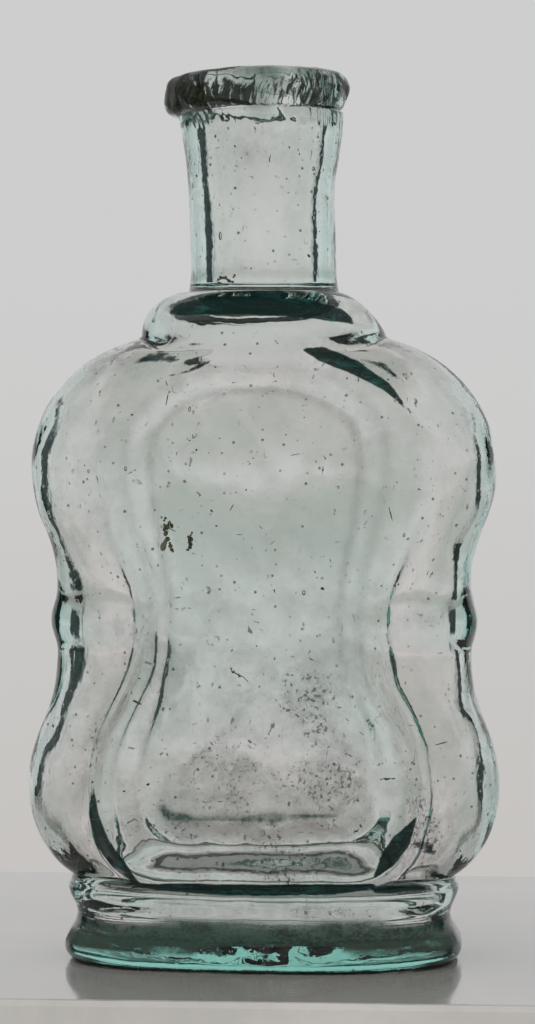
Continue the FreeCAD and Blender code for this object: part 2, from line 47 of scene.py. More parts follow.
FOOT_TOP = 11.0
FOOT_WIDTH = 27.0
FOOT_DEPTH = 17.0
FOOT_LINES = ((0.0, 2.2), (2.0, 0.05), (6.2, 1.75), (9.9, 0.5), (11.0, 1.1))  # height and inset of each line
FOOT_POWER = 2.8
FRONT_ROLL = 0.45  # share of the bottom edge's roll that is left on the front
LEFT_INSET = 0.45  # by which the foot is shallower on the left, below its groove
LEFT_SIDE = (-0.7, 1.3)  # a span like those below: start and length, here as the cosine of the direction
LEFT_HEIGHTS = (6.0, 5.0)

BULGE_LINE = 23.0
BULGE_WIDTH = 32.0
BULGE_DEPTH = 14.2
ROUND_WIDTH = 11.5
ROUND_DROP = 13.2
WAIST_FOOT = 40.8
WAIST_HEAD = 50.5
WAIST_LINE = (WAIST_FOOT + WAIST_HEAD) / 2
WAIST_WIDTH = 28.1
BEAD_RISE = 0.85
BEAD_HALF_LENGTH = 4.2
UPPER_LINE = 66.5
UPPER_WIDTH = 31.5
SHOULDER_ROUND = (19.5, 17.8)
WALL_POWER = 2.9

COLLAR_FOOT = 84.0
COLLAR_SKIRT = 4.0
COLLAR_WIDTH = 16.7
COLLAR_DEPTH = 12.7
COLLAR_POWER = 2.3
SLOPE_POWER = 1.25  # the right-hand side of the collar is partly a slope of this power
SLOPE_SHARE = 0.55
SLOPE_SIDE = (-0.4, 1.2)
NECK_ROOT = 90.0
ROOT_RADIUS = 10.2

# Panel outlines: half widths at the upper line, waist and lower line, corner widths, top and bottom
PANEL_LINE = 68.0
LOBE = dict(upper=21.4, waist=15.8, lower=22.1, upper_corner=14.0, lower_corner=8.0, top=82.0, bottom=10.6)
RIM = dict(upper=17.3, waist=13.6, lower=18.7, upper_corner=13.5, lower_corner=6.7, top=79.4, bottom=14.0)
FIELD = dict(upper=13.8, waist=11.1, lower=15.3, upper_corner=12.4, lower_corner=5.2, top=76.6, bottom=16.7)
LOBE_DEPTH = 16.2
LOBE_ROUND = 3.2
LOBE_TOP = (12.2, 66.0, 81.0)  # depth at the top, and where the sinking starts and ends
SOFT_JOIN_POWER = 9.0
LOBE_POWER = 7.0
SOFT_LOBE_POWER = 5.0
JOIN_POWER = 22.0
SOFT_LOBE_SPAN = (32.0, 20.0)
SOFT_JOIN_SPAN = (32.0, 26.0)
UNION_POWER = 40
OUTSIDE_SLOPE = 9  # loss of radius per mm above or below a part's own heights
LEAST_RADIUS = 0.1
FIELD_RECESS = 0.85
UPPER_RECESS = 0.49  # share of the recess that is left in the upper half, and at the foot of the field
LOWER_RECESS = 0.72
UPPER_RECESS_SPAN = (28.0, 28.0)
LOWER_RECESS_SPAN = (RIM["bottom"], 9.0)
SOFT_BEVEL_SPAN = (40.0, 25.0)
FIELD_AWAY = 8  # least distance of a field from the middle plane

# Inside
SIDE_WALL = 2.3
FLOOR = 2.0
HEEL_ROUND = (2.4, 3.0)
CAVITY_DEPTH = 13.3
HEEL_DEPTH = (12.6, 11.3)  # at the floor and above the foot's groove
HEEL_EASE = (6.0, 10.0)
CAVITY_POWER = 2.6
HEEL_POWER = 4.0
COLLAR_INSIDE = (13.2, 10.0)
SHOULDER_GATHER = 1.3  # how much thicker the side wall is at the shoulder
DOME_FOOT = 82.0
DOME_SPAN = (74.0, 6.0)
DOME_POWER = 3.2
DOME_JOIN_POWER = 6
CEILING = 89.2
BORE_FOOT = 7.6
# Line above which the top of the collar's inside is painted dark: painted shade
BAND_FOOT = 88.3
BAND_SLOPE = 0.012
RIDGE = (-6.7, -3.0, 7.6, 15.5, 0.5)  # in the floor: x of left foot and head, right head and foot, and height
RIDGE_RISE = 4.5

# Underside
DISH = (19.0, 11.5, 0.7)
SCAR_RADIUS = 5.4
SCAR_THICKNESS = 0.9

# Neck, lip and bore: radius and height of each corner of the profile, bulge of the line to it, and its steps
NECK_TOP = 120.0
NECK_PROFILE = (
    (9.85, 93.0, -0.1, 3), (9.85, 103.0, 0.0, 6), (10.8, 114.2, -0.2, 8), (11.4, 114.6, -0.12, 4),
    (12.5, 117.0, 0.42, 7), (12.35, 118.1, 0.05, 3), (10.5, 119.8, 0.5, 7), (9.8, 119.95, 0.04, 3),
    (8.5, 118.0, 0.42, 7), (7.1, 106.5, 0.3, 22), (6.7, 92.4, 0.0, 10), (6.8, 90.6, 0.08, 4),
    (BORE_FOOT, CEILING + 0.2, -0.2, 6),
)
COLUMNS = 228
MOUTH_ROW = 43  # first row of the profile that counts as inside

# Rows of a part that bear seeds or crumbs, counted from its first row, or from its last if negative
NECK_SEEDS = (5, 17)
BODY_SEEDS = (26, -34)
WALL_CRUMBS = (16, -22)
BORE_CRUMBS = (46, -8)
BORE_ROWS = 30  # rows of the bore on which a large crumb may lie

# Smooth unevenness: seed, number of waves, longest and shortest wave
RIPPLES = {
    "mould": (11, 14, 16, 4.5),
    "wall": (12, 10, 40, 14),
    "fine_wall": (13, 14, 9, 4),
    "neck": (14, 10, 10, 4),
    "lip": (15, 8, 9, 3),
    "tooling": (16, 6, 8, 3),
    "mouth": (17, 10, 7, 2),
    "lip_height": (18, 5, 20, 8),
    "floor": (19, 8, 18, 7),
    "dish": (31, 8, 14, 6),
    "scar_outline": (32, 6, 9, 4),
    "scar": (33, 8, 5, 2.2),
    "dirt": (51, 9, 45, 14),
    "crust_top": (52, 6, 16, 6),
    "mouth_film": (53, 8, 9, 3),
    "underside": (54, 9, 24, 5),
    "crust_foot": (55, 6, 14, 5),
}


# Shape formulas

def ease(share):
    """Rises from 0 to 1 on half a cosine wave."""
    return (1 - np.cos(np.pi * np.clip(share, 0, 1))) / 2


def mix(start, end, share):
    return start + (end - start) * share


def rise(value, start, length):
    """Rises from 0 at start to 1 a length further on."""
    return ease((value - start) / length)


def fall(value, start, length):
    return 1 - rise(value, start, length)


def swell(value, middle, width):
    """A bell of height 1."""
    return np.exp(-((value - middle) / width) ** 2)


def quarter(across, up, away):
    """Reach of a quarter ellipse at a distance from its widest line."""
    return across * np.sqrt(np.clip(1 - (away / up) ** 2, 0, 1))


def double_arc(start, end, length, along):
    """Two equal arcs from start to end, upright at both ends."""
    shift = end - start
    radius = (length ** 2 + shift ** 2) / (4 * abs(shift))
    near = np.clip(np.minimum(along, length - along), 0, length / 2)
    sag = math.copysign(1, shift) * (radius - np.sqrt(radius ** 2 - near ** 2))
    return np.where(along < length / 2, start + sag, end - sag)


def squared(cos, sin, width, depth, power):
    """Polar radius of the squared oval |x / w|^p + |y / d|^p = 1 in the direction (cos, sin)."""
    return (np.abs(cos / width) ** power + np.abs(sin / depth) ** power) ** (-1 / power)


def hourglass(z):
    """Half width of the side walls: quarter ellipses at both ends and double arcs to the waist."""
    below = np.minimum(BULGE_LINE - z, ROUND_DROP)
    lower = BULGE_WIDTH - ROUND_WIDTH + quarter(ROUND_WIDTH, ROUND_DROP, below)
    shoulder_width, shoulder_rise = SHOULDER_ROUND
    upper = UPPER_WIDTH - shoulder_width + quarter(shoulder_width, shoulder_rise, z - UPPER_LINE)
    return np.select(
        [z < BULGE_LINE, z < WAIST_FOOT, z < WAIST_HEAD, z < UPPER_LINE],
        [
            lower,
            double_arc(BULGE_WIDTH, WAIST_WIDTH, WAIST_FOOT - BULGE_LINE, z - BULGE_LINE),
            np.full_like(z, WAIST_WIDTH),
            double_arc(WAIST_WIDTH, UPPER_WIDTH, UPPER_LINE - WAIST_HEAD, z - WAIST_HEAD),
        ],
        upper,
    )


def panel_half_width(panel, z):
    """Half width of a panel outline at a height, from its bottom line to its top line."""
    low = np.clip(BULGE_LINE - z, 0, BULGE_LINE - panel["bottom"])
    high = np.clip(z - PANEL_LINE, 0, panel["top"] - PANEL_LINE)
    lower_end = panel["lower"] - panel["lower_corner"] + quarter(
        panel["lower_corner"], BULGE_LINE - panel["bottom"], low)
    upper_end = panel["upper"] - panel["upper_corner"] + quarter(
        panel["upper_corner"], panel["top"] - PANEL_LINE, high)
    return np.select(
        [z < BULGE_LINE, z < WAIST_LINE, z < PANEL_LINE],
        [
            lower_end,
            double_arc(panel["lower"], panel["waist"], WAIST_LINE - BULGE_LINE, z - BULGE_LINE),
            double_arc(panel["waist"], panel["upper"], PANEL_LINE - WAIST_LINE, z - WAIST_LINE),
        ],
        upper_end,
    )


def inside_distance(panel, x, z):
    """Distance in from a panel outline, negative outside it: the least distance to its sampled line."""
    turn = ease(np.linspace(0, 1, 260))
    heights = mix(panel["bottom"], panel["top"], turn)
    widths = panel_half_width(panel, heights)
    line_x = np.concatenate([np.linspace(0, 1, 12) * widths[0], widths, np.linspace(1, 0, 12) * widths[-1]])
    line_z = np.concatenate([np.full(12, panel["bottom"]), heights, np.full(12, panel["top"])])
    away = np.full(x.shape, np.inf)
    for start_x, start_z, end_x, end_z in zip(line_x, line_z, line_x[1:], line_z[1:]):
        run_x, run_z = end_x - start_x, end_z - start_z
        length = run_x ** 2 + run_z ** 2
        if length == 0:
            continue
        from_x, from_z = np.abs(x) - start_x, z - start_z
        share = np.clip((from_x * run_x + from_z * run_z) / length, 0, 1)
        away = np.minimum(away, np.hypot(from_x - share * run_x, from_z - share * run_z))
    within = (np.abs(x) < panel_half_width(panel, z)) & (z > panel["bottom"]) & (z < panel["top"])
    return np.where(within, away, -away)


def ripple(name, *axes):
    """Smooth unevenness, mostly between -1 and 1: a sum of waves of random direction, length and phase."""
    seed, count, longest, shortest = RIPPLES[name]
    draw = np.random.default_rng(seed)
    total = np.zeros(np.broadcast(*axes).shape)
    for _ in range(count):
        heading = draw.normal(size=len(axes))
        heading /= np.linalg.norm(heading)
        wave = TAU / np.exp(draw.uniform(math.log(shortest), math.log(longest)))
        along_wave = sum(part * axis for part, axis in zip(heading, axes))
        total = total + np.sin(along_wave * wave + draw.uniform(0, TAU))
    return total / math.sqrt(count)


# Outside and inside as polar radii

def outside_radius(cos, sin, z):
    """Smooth union of the foot, the side walls, the raised front and back, and the collar."""
    heights, insets = np.array(FOOT_LINES).T
    step = np.clip(np.searchsorted(heights, z, side="right") - 1, 0, len(heights) - 2)
    share = (z - heights[step]) / (heights[step + 1] - heights[step])
    inset = mix(insets[step], insets[step + 1], ease(share))
    rolled = insets[0] * (1 - np.sqrt(np.clip(1 - (1 - share) ** 2, 0, 1)))
    inset = np.where(z < heights[1], rolled + insets[1] * share, inset)
    front = np.where(z < heights[1], rolled * FRONT_ROLL + insets[1] * share, inset)
    front = front + LEFT_INSET * fall(cos, *LEFT_SIDE) * fall(z, *LEFT_HEIGHTS)
    falling = np.clip(z - FOOT_TOP, 0, None) * OUTSIDE_SLOPE
    foot = squared(cos, sin, FOOT_WIDTH - inset, FOOT_DEPTH - front, FOOT_POWER) - falling

    wall_z = np.clip(z, LOBE["bottom"], COLLAR_FOOT)
    bead = BEAD_RISE * (1 - ease(np.abs(wall_z - WAIST_LINE) / BEAD_HALF_LENGTH))
    width = hourglass(wall_z)
    wall = squared(cos, sin, width + bead, width * BULGE_DEPTH / BULGE_WIDTH + bead, WALL_POWER)
    from_foot = np.clip(wall_z - LOBE["bottom"], 0, LOBE_ROUND)
    low_depth = LOBE_DEPTH - LOBE_ROUND + quarter(LOBE_ROUND, LOBE_ROUND, LOBE_ROUND - from_foot)
    least, sink_foot, sink_head = LOBE_TOP
    top_depth = mix(LOBE_DEPTH, least, ease((wall_z - sink_foot) / (sink_head - sink_foot)))
    lobe = squared(cos, sin, panel_half_width(LOBE, wall_z), np.minimum(low_depth, top_depth),
                   mix(LOBE_POWER, SOFT_LOBE_POWER, rise(wall_z, *SOFT_LOBE_SPAN)))
    past = np.clip(z - COLLAR_FOOT, 0, None) * OUTSIDE_SLOPE
    join = mix(JOIN_POWER, SOFT_JOIN_POWER, rise(wall_z, *SOFT_JOIN_SPAN))
    body = (wall ** join + lobe ** join) ** (1 / join) - past

    height = np.clip((z - COLLAR_FOOT) / (NECK_ROOT - COLLAR_FOOT), 0, 1)
    share = mix(np.sqrt(1 - height ** 2), 1 - height ** SLOPE_POWER, SLOPE_SHARE * rise(cos, *SLOPE_SIDE))
    collar = squared(cos, sin, mix(ROOT_RADIUS, COLLAR_WIDTH, share), mix(ROOT_RADIUS, COLLAR_DEPTH, share),
                     mix(2.0, COLLAR_POWER, share))
    collar = collar - np.clip(COLLAR_FOOT - COLLAR_SKIRT - z, 0, None) * OUTSIDE_SLOPE
    parts = [np.clip(part, LEAST_RADIUS, None) for part in (foot, body, collar)]
    return sum(part ** UNION_POWER for part in parts) ** (1 / UNION_POWER)


def dome_share(z):
    """Falls from 1 at the foot of the collar's inside, upright there, to 0 at its level ceiling."""
    return np.sqrt(1 - np.clip((z - DOME_FOOT) / (CEILING - DOME_FOOT), 0, 1) ** DOME_POWER)


def cavity_half_width(z):
    """Inside: a heel round, the hourglass less its wall, and a round into the collar."""
    lid = z - UPPER_LINE
    gathering = SHOULDER_GATHER * np.clip(lid / SHOULDER_ROUND[1], 0, 1) ** 2
    wall = hourglass(np.clip(z, FOOT_TOP, COLLAR_FOOT)) - SIDE_WALL - gathering
    heel = float(hourglass(np.array([FOOT_TOP]))[0]) - SIDE_WALL
    round_width, round_rise = HEEL_ROUND
    up = np.clip(FLOOR + round_rise - z, 0, round_rise)
    lower = heel - round_width + quarter(round_width, round_rise, up)
    both = [np.clip(width, LEAST_RADIUS, None) for width in (wall, COLLAR_INSIDE[0] * dome_share(z))]
    upper = sum(width ** DOME_JOIN_POWER for width in both) ** (1 / DOME_JOIN_POWER)
    return np.where(z < FOOT_TOP, lower, mix(wall, upper, rise(z, *DOME_SPAN)))


def cavity_radius(cos, sin, z):
    """Polar radius of the inside, squarer in the body and rounder in the collar."""
    width = cavity_half_width(z)
    wall_share = CAVITY_DEPTH / (BULGE_WIDTH - SIDE_WALL)
    squareness = 1 - ease((z - HEEL_EASE[0]) / (HEEL_EASE[1] - HEEL_EASE[0]))
    heel_depth = mix(HEEL_DEPTH[1], HEEL_DEPTH[0], squareness)
    heel_share = heel_depth / (float(hourglass(np.array([FOOT_TOP]))[0]) - SIDE_WALL)
    low = width * mix(heel_share, wall_share, ease((z - FOOT_TOP) / (BULGE_LINE - FOOT_TOP)))
    widest = (UPPER_WIDTH - SIDE_WALL) * wall_share
    high = mix(widest, COLLAR_INSIDE[1], ease((z - UPPER_LINE) / (COLLAR_FOOT - UPPER_LINE))) * dome_share(z)
    depth = np.where(z < UPPER_LINE, low, high)
    power = mix(CAVITY_POWER, HEEL_POWER, squareness)
    power = mix(power, 2.0, ease((z - UPPER_LINE) / (NECK_ROOT - UPPER_LINE)))
    return squared(cos, sin, width, depth, power)


# Mesh making

def make_piece(name, points, faces, slot, materials, smooth=True):
    """A finished piece in place: points in millimetres, faces as lists of point numbers."""
    mesh = bpy.data.meshes.new(name)
    mesh.from_pydata((points * MM).tolist(), [], faces)
    mesh.polygons.foreach_set("use_smooth", np.full(len(mesh.polygons), smooth))
    mesh.update()
    piece = bpy.data.objects.new(name, mesh)
    bpy.context.scene.collection.objects.link(piece)
    for material in materials:
        mesh.materials.append(material)
    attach(piece, "root")
    return piece


def grid_faces(rows, columns):
    """Quads of a grid whose columns close on themselves."""
    row, column = np.meshgrid(np.arange(rows - 1), np.arange(columns), indexing="ij")
    onward = (column + 1) % columns
    low, high = row * columns, (row + 1) * columns
    return np.stack([low + column, low + onward, high + onward, high + column], axis=-1).reshape(-1, 4)


def column_directions(count):
    """Directions round the axis, set by even steps along the widest section, closer together on the panels."""
    fine = np.linspace(0, TAU, 4001)
    radius = outside_radius(np.cos(fine), np.sin(fine), np.full_like(fine, BULGE_LINE))
    x, y = radius * np.cos(fine), radius * np.sin(fine)
    middle_x = (x[1:] + x[:-1]) / 2
    weight = np.where(np.abs(middle_x) < 24, 1.0, 0.72)
    run = np.concatenate([[0], np.cumsum(np.hypot(np.diff(x), np.diff(y)) * weight)])
    return np.interp(np.arange(count) / count * run[-1], run, fine)


def spaced(*stops):
    """Values through stops (value, steps from the one before), even between them."""
    values = [np.array([stops[0][0]])]
    for (low, _), (high, steps) in zip(stops, stops[1:]):
        values.append(np.linspace(low, high, steps + 1)[1:])
    return np.concatenate(values)


def arc_profile(start, end, bulge, steps):
    """Radius and height along a parabola from start to end that stands out by bulge, without its start."""
    share = np.linspace(0, 1, steps + 1)[1:, None]
    start, end = np.array(start), np.array(end)
    chord = end - start
    normal = np.array([chord[1], -chord[0]]) / np.linalg.norm(chord)
    return start + chord * share + normal * bulge * 4 * share * (1 - share)


def blown_glass():
    """The whole vessel as one closed skin, from the dish under the foot, up the outside, over the lip and down
    the inside to the floor. Every row is a closed loop of the same columns."""
    turn = column_directions(COLUMNS)
    cos, sin = np.cos(turn), np.sin(turn)
    rows = []

    def add(x, y, z):
        rows.append(np.stack(np.broadcast_arrays(x, y, z), axis=-1))

    # underside: shares of the way from the middle to the bottom edge
    edge = outside_radius(cos, sin, np.zeros(COLUMNS))
    for share in np.concatenate([[0.012], spaced((0.05, 0), (0.55, 15), (0.8, 6), (1.0, 5))])[:-1]:
        x, y = edge * share * cos, edge * share * sin
        within = np.clip(1 - (x / DISH[0]) ** 2 - (y / DISH[1]) ** 2, 0, 1)
        scar_away = (np.hypot(x - 1.5, y) - SCAR_RADIUS - 0.35 * ripple("scar_outline", x, y)) / SCAR_THICKNESS
        scar = (0.16 + 0.05 * ripple("scar", x, y)) * np.exp(-scar_away ** 2 * 1.4)
        add(x, y, np.clip(DISH[2] * within ** 2 + 0.03 * ripple("dish", x, y) * within - scar, 0, None))

    # outside of the body
    low_round = 2.0 * (1 - np.cos(np.linspace(0, np.pi / 2, 6)[:-1]))
    dome = COLLAR_FOOT + (NECK_ROOT - COLLAR_FOOT) * np.sin(np.linspace(0, np.pi / 2, 13)[1:])
    heights = np.concatenate([
        low_round,
        spaced((2.0, 0), (9.6, 12), (11.0, 6), (14.0, 11), (19.0, 12), (70.0, 88), (84.0, 34)),
        dome[:-1],
    ])
    body_rows = slice(len(rows), len(rows) + len(heights))
    for z in heights:
        radius = outside_radius(cos, sin, np.full(COLUMNS, z))
        add(radius * cos, radius * sin, z)

    # neck, lip, mouth and bore: a profile turned about the axis
    corner = (ROOT_RADIUS, NECK_ROOT)
    profile = [[corner]]
    for radius, z, bulge, steps in NECK_PROFILE:
        profile.append(arc_profile(corner, (radius, z), bulge, steps))
        corner = (radius, z)
    profile = np.concatenate(profile)
    neck_rows = slice(len(rows), len(rows) + len(profile))
    for radius, z in profile:
        add(radius * cos, radius * sin, z)

    # inside of the body, down to the floor
    floor_edge = FLOOR + HEEL_ROUND[1]
    heel = floor_edge - HEEL_ROUND[1] * np.sin(np.linspace(0, np.pi / 2, 9)[1:])
    inner = np.concatenate([
        DOME_FOOT + (CEILING - DOME_FOOT) * np.sin(np.linspace(np.pi / 2, 0, 15)[1:-1]) ** 0.7,
        spaced((DOME_FOOT, 0), (66.0, 22), (23.0, 36), (floor_edge, 14)),
        heel,
    ])
    inner_rows = slice(len(rows), len(rows) + len(inner))
    for z in inner:
        radius = cavity_radius(cos, sin, np.full(COLUMNS, z))
        add(radius * cos, radius * sin, z)
    floor_line = cavity_radius(cos, sin, np.full(COLUMNS, FLOOR))
    for share in spaced((1.0, 0), (0.6, 5), (0.06, 10), (0.012, 1))[1:]:
        add(floor_line * share * cos, floor_line * share * sin, FLOOR + 0.1 * (1 - share))

    even = sink_fields(np.array(rows), body_rows)
    points = uneven_neck(uneven_skin(even, body_rows, neck_rows, inner_rows), even)
    count = len(points)
    flat = points.reshape(-1, 3)
    caps = np.array([flat[:COLUMNS].mean(axis=0), flat[-COLUMNS:].mean(axis=0)])
    quads = grid_faces(count, COLUMNS)
    column = np.arange(COLUMNS)
    onward = (column + 1) % COLUMNS
    first, last = len(flat), len(flat) + 1
    start = np.stack([np.full(COLUMNS, first), onward, column], axis=-1)
    base = (count - 1) * COLUMNS
    finish = np.stack([np.full(COLUMNS, last), base + column, base + onward], axis=-1)
    faces = quads.tolist() + start.tolist() + finish.tolist()
    inside = np.zeros(count)
    inside[neck_rows.start + MOUTH_ROW:] = 1
    inside = np.append(np.repeat(inside, COLUMNS), [0, 1])
    points = np.concatenate([flat, caps])
    marks = {"inside": inside, "refraction_shade": painted_refraction_shade(points, inside), "grime": grime(points, inside),
             "stain_and_shade": stain_and_painted_shadow(points, inside), "shade": outline_shade(points, inside),
             "crust": dried_crust(points, inside)}
    grid = points[:-2].reshape(count, COLUMNS, 3)
    return points, faces, marks, (grid, body_rows, neck_rows, inner_rows)


def along(path, x, z):
    """Depth inside a stroke: local half width less the distance from a path of (x, z, half width)."""
    best = np.full(x.shape, -9.0)
    for (start_x, start_z, start_half), (end_x, end_z, end_half) in zip(path, path[1:]):
        run_x, run_z = end_x - start_x, end_z - start_z
        share = np.clip(((x - start_x) * run_x + (z - start_z) * run_z) / (run_x ** 2 + run_z ** 2), 0, 1)
        away = np.hypot(x - start_x - share * run_x, z - start_z - share * run_z)
        best = np.maximum(best, mix(start_half, end_half, share) - away)
    return best


# Painted shade: dark strokes on the outside of the front, standing in for the darkening where light goes a long
# way through thick glass. Strength, and path of (x, z, half width)
REFRACTION_SHADE_PLACES = (
    (1.0, ((6.4, 82.0, 0.3), (8.6, 81.4, 1.0), (12.4, 79.9, 0.95), (17.0, 77.2, 0.55), (20.6, 73.4, 0.1))),
    (0.64, ((13.5, 80.8, 0.2), (16.2, 80.0, 0.7), (18.4, 78.4, 0.5), (19.8, 77.4, 0.1))),
    (0.58, ((-16.8, 80.3, 0.3), (-14.2, 81.2, 1.1), (-11.2, 80.9, 1.0), (-9.8, 80.6, 0.3))),
    (0.8, ((-10.6, 82.3, 0.15), (-8.6, 82.7, 0.3), (-5.8, 82.6, 0.1))),
    (0.9, ((-13.0, 78.2, 0.08), (-9.5, 79.0, 0.22), (-7.6, 79.8, 0.35), (-6.0, 80.6, 0.12))),
    (1.0, ((-21.8, 25.0, 0.1), (-21.6, 20.5, 0.75), (-20.4, 16.6, 1.15), (-18.4, 14.0, 1.2),
          (-16.0, 11.4, 0.6))),
    (1.0, ((21.2, 20.6, 0.1), (19.2, 17.4, 1.2), (17.4, 14.9, 1.1), (15.8, 12.8, 0.2))),
    (0.57, ((20.8, 17.0, 0.6), (22.6, 16.2, 1.2), (24.0, 15.0, 0.4))),
    (1.0, ((-15.4, 11.2, 0.3), (-8.0, 11.1, 0.62), (0.0, 10.95, 0.66), (10.0, 11.15, 0.7),
          (15.4, 11.5, 0.4))),
    (0.8, ((15.8, 10.9, 0.5), (22.0, 10.9, 0.45))),
    (0.6, ((-22.5, 11.1, 0.3), (-15.8, 10.8, 0.35))),
    (1.0, ((-11.9, 86.9, 0.1), (-10.6, 87.4, 0.85), (-6.1, 87.9, 1.25), (0.0, 87.8, 1.25),
          (7.4, 87.3, 1.2), (10.7, 86.6, 0.95), (12.4, 85.8, 0.3))),
)


def painted_refraction_shade(points, inside):
    """Strength of the painted shade at each place, as a ramp that is one half at the outline of its stroke. The
    first is a painted dark ring at the top of the collar's inside, above a line that falls to the right."""
    x, y, z = points.T
    marks = np.clip(0.5 + (z - BAND_FOOT + BAND_SLOPE * x) / 0.3, 0, 1) * inside * (z < CEILING)
    for strength, path in REFRACTION_SHADE_PLACES:
        ramp = np.clip(0.5 + along(path, x, z) / 1.1, 0, 1) * strength
        marks = np.maximum(marks, np.where((inside == OUTSIDE) & (y < -2), ramp, 0))
    return marks


# Dark marks on the lip, partly staining and partly painted shade along its edges: skin, strength, path of
# (x, z, half width)
OUTSIDE, INSIDE = 0, 1
LIP_STAIN_AND_SHADE = (
    (OUTSIDE, 1.0, ((-9.6, 119.3, 0.6), (-11.6, 118.0, 1.0), (-12.2, 116.0, 1.3), (-11.2, 114.4, 0.8))),
    (OUTSIDE, 1.0, ((-9.0, 119.5, 0.3), (-6.0, 119.3, 0.55), (-3.4, 119.5, 0.45), (-1.2, 119.9, 0.1))),
    (OUTSIDE, 0.9, ((-10.4, 117.0, 1.0), (-8.8, 115.8, 1.3), (-7.4, 115.5, 0.7))),
    (OUTSIDE, 1.0, ((-8.6, 115.3, 0.5), (-5.6, 115.1, 0.28), (-3.0, 114.8, 0.3), (-1.0, 114.4, 0.2))),
    (OUTSIDE, 0.9, ((-1.0, 114.4, 0.12), (4.0, 114.3, 0.12), (9.6, 114.5, 0.2))),
    (OUTSIDE, 0.8, ((10.0, 119.0, 0.3), (11.2, 117.6, 0.5), (11.4, 115.6, 0.3))),
    (INSIDE, 0.75, ((-9.4, 116.4, 1.6), (-5.0, 116.6, 1.1), (-2.0, 116.7, 0.7))),
    (INSIDE, 0.52, ((-2.0, 116.6, 0.9), (3.0, 116.7, 1.2), (7.6, 117.0, 1.4))),
    (INSIDE, 0.66, ((6.6, 118.4, 0.6), (8.6, 117.0, 0.9), (9.0, 114.8, 0.4))),
)


def stain_and_painted_shadow(points, inside):
    """Dark marks: a line along the lip's top edge and strokes on the lip, partly staining and partly painted shade
    along the lip's edges; and painted shadow under the foot, in streaks that close up towards its ends, and along
    the front of its rolled bottom edge. Below the lip's widest line the strokes are on the front only."""
    x, y, z = points.T
    stain_and_shade = np.clip(1 - np.abs(z - 119.85) / 0.35, 0, 1) * 0.8 * (np.hypot(x, y) > 9.2)
    for skin, strength, path in LIP_STAIN_AND_SHADE:
        ramp = np.clip(0.5 + along(path, x, z) / 0.8, 0, 1) * strength
        stain_and_shade = np.maximum(stain_and_shade, np.where((inside == skin) & ((y < 0) | (z > 117.2)), ramp, 0))
    # Painted shadow under the foot, where it stands on the table, darker towards its ends
    under = 0.38 + 0.24 * ripple("underside", x * 0.35, y) + 0.5 * rise(np.abs(x), 19, 6)
    under = under - 0.18 * fall(np.abs(x), 5, 6)
    # Painted shadow along the front of the rolled bottom edge
    rolled = (z > 0.05) * (z < 0.5) * (y < 4) * ((x / DISH[0]) ** 2 + (y / DISH[1]) ** 2 > 1.3)
    under = np.maximum(np.clip(under, 0, 1), 0.7 * rolled)
    return np.where(z > 112, stain_and_shade, under * (z < 0.8) * (inside == 0))


# Painted shade along the panel's outlines: outline, strength, half width
OUTLINE_SHADES = ((FIELD, 0.38, 0.6), (RIM, 0.24, 0.8), (LOBE, 0.1, 0.9))
MOUTH_DIRT_FOOT = 111.5
# Grey smudge across the foot of the field: x, z, half width
SMUDGE = ((-12.2, 21.6, 0.5), (-11.4, 20.6, 0.7), (-7.0, 20.3, 0.3), (-1.0, 20.3, 0.35), (2.0, 20.45, 0.75),
          (4.6, 20.6, 0.4), (10.7, 20.8, 0.2))


# Dirty places: x, z, half width, half height, strength
DIRTY_PLACES = (
    (-20.5, 57.0, 4.0, 5.5, 0.6), (-21.0, 29.5, 1.2, 3.6, 0.9), (7.2, 34.5, 4.5, 5.5, 0.6),
    (-18.0, 45.0, 6.0, 2.0, 0.4), (-22.5, 16.0, 4.5, 4.0, 0.35), (23.5, 17.0, 4.0, 4.5, 0.6),
    (21.0, 22.0, 4.5, 5.0, 0.45), (-24.0, 24.0, 3.0, 7.0, 0.2), (12.0, 72.0, 6.0, 4.0, 0.3),
    (22.0, 46.5, 5.0, 1.6, 0.6), (-18.0, 80.0, 5.0, 2.0, 0.7), (10.0, 83.0, 7.0, 1.0, 0.8),
    (16.0, 79.5, 5.0, 2.5, 0.7), (0.5, 93.2, 6.0, 1.2, 0.6), (-1.0, 109.0, 6.0, 3.0, 0.5),
    (5.0, 103.0, 3.0, 6.0, 0.4),
)


def grime(points, inside):
    """How dirty each point is: slow waves, dirty places and the mouth."""
    x, y, z = points.T
    haze = np.where(np.abs(x) > 16, 0.24, 0.85) * fall(z, 14, 44) * mix(0.2, 1.0, rise(z, 10, 6))
    dirt = np.minimum(0.14 + 0.14 * ripple("dirt", x, y, z) + haze, 0.95)
    for place_x, place_z, half_width, half_height, strength in DIRTY_PLACES:
        away = ((x - place_x) / half_width) ** 2 + ((z - place_z) / half_height) ** 2
        dirt = dirt + strength * np.exp(-away) * (y < 0)
    mouth = rise(z, MOUTH_DIRT_FOOT, 3.5) * (y < 0)
    return np.clip(np.where(inside > 0, np.maximum(dirt, mouth), dirt * 0.8), 0, 2)


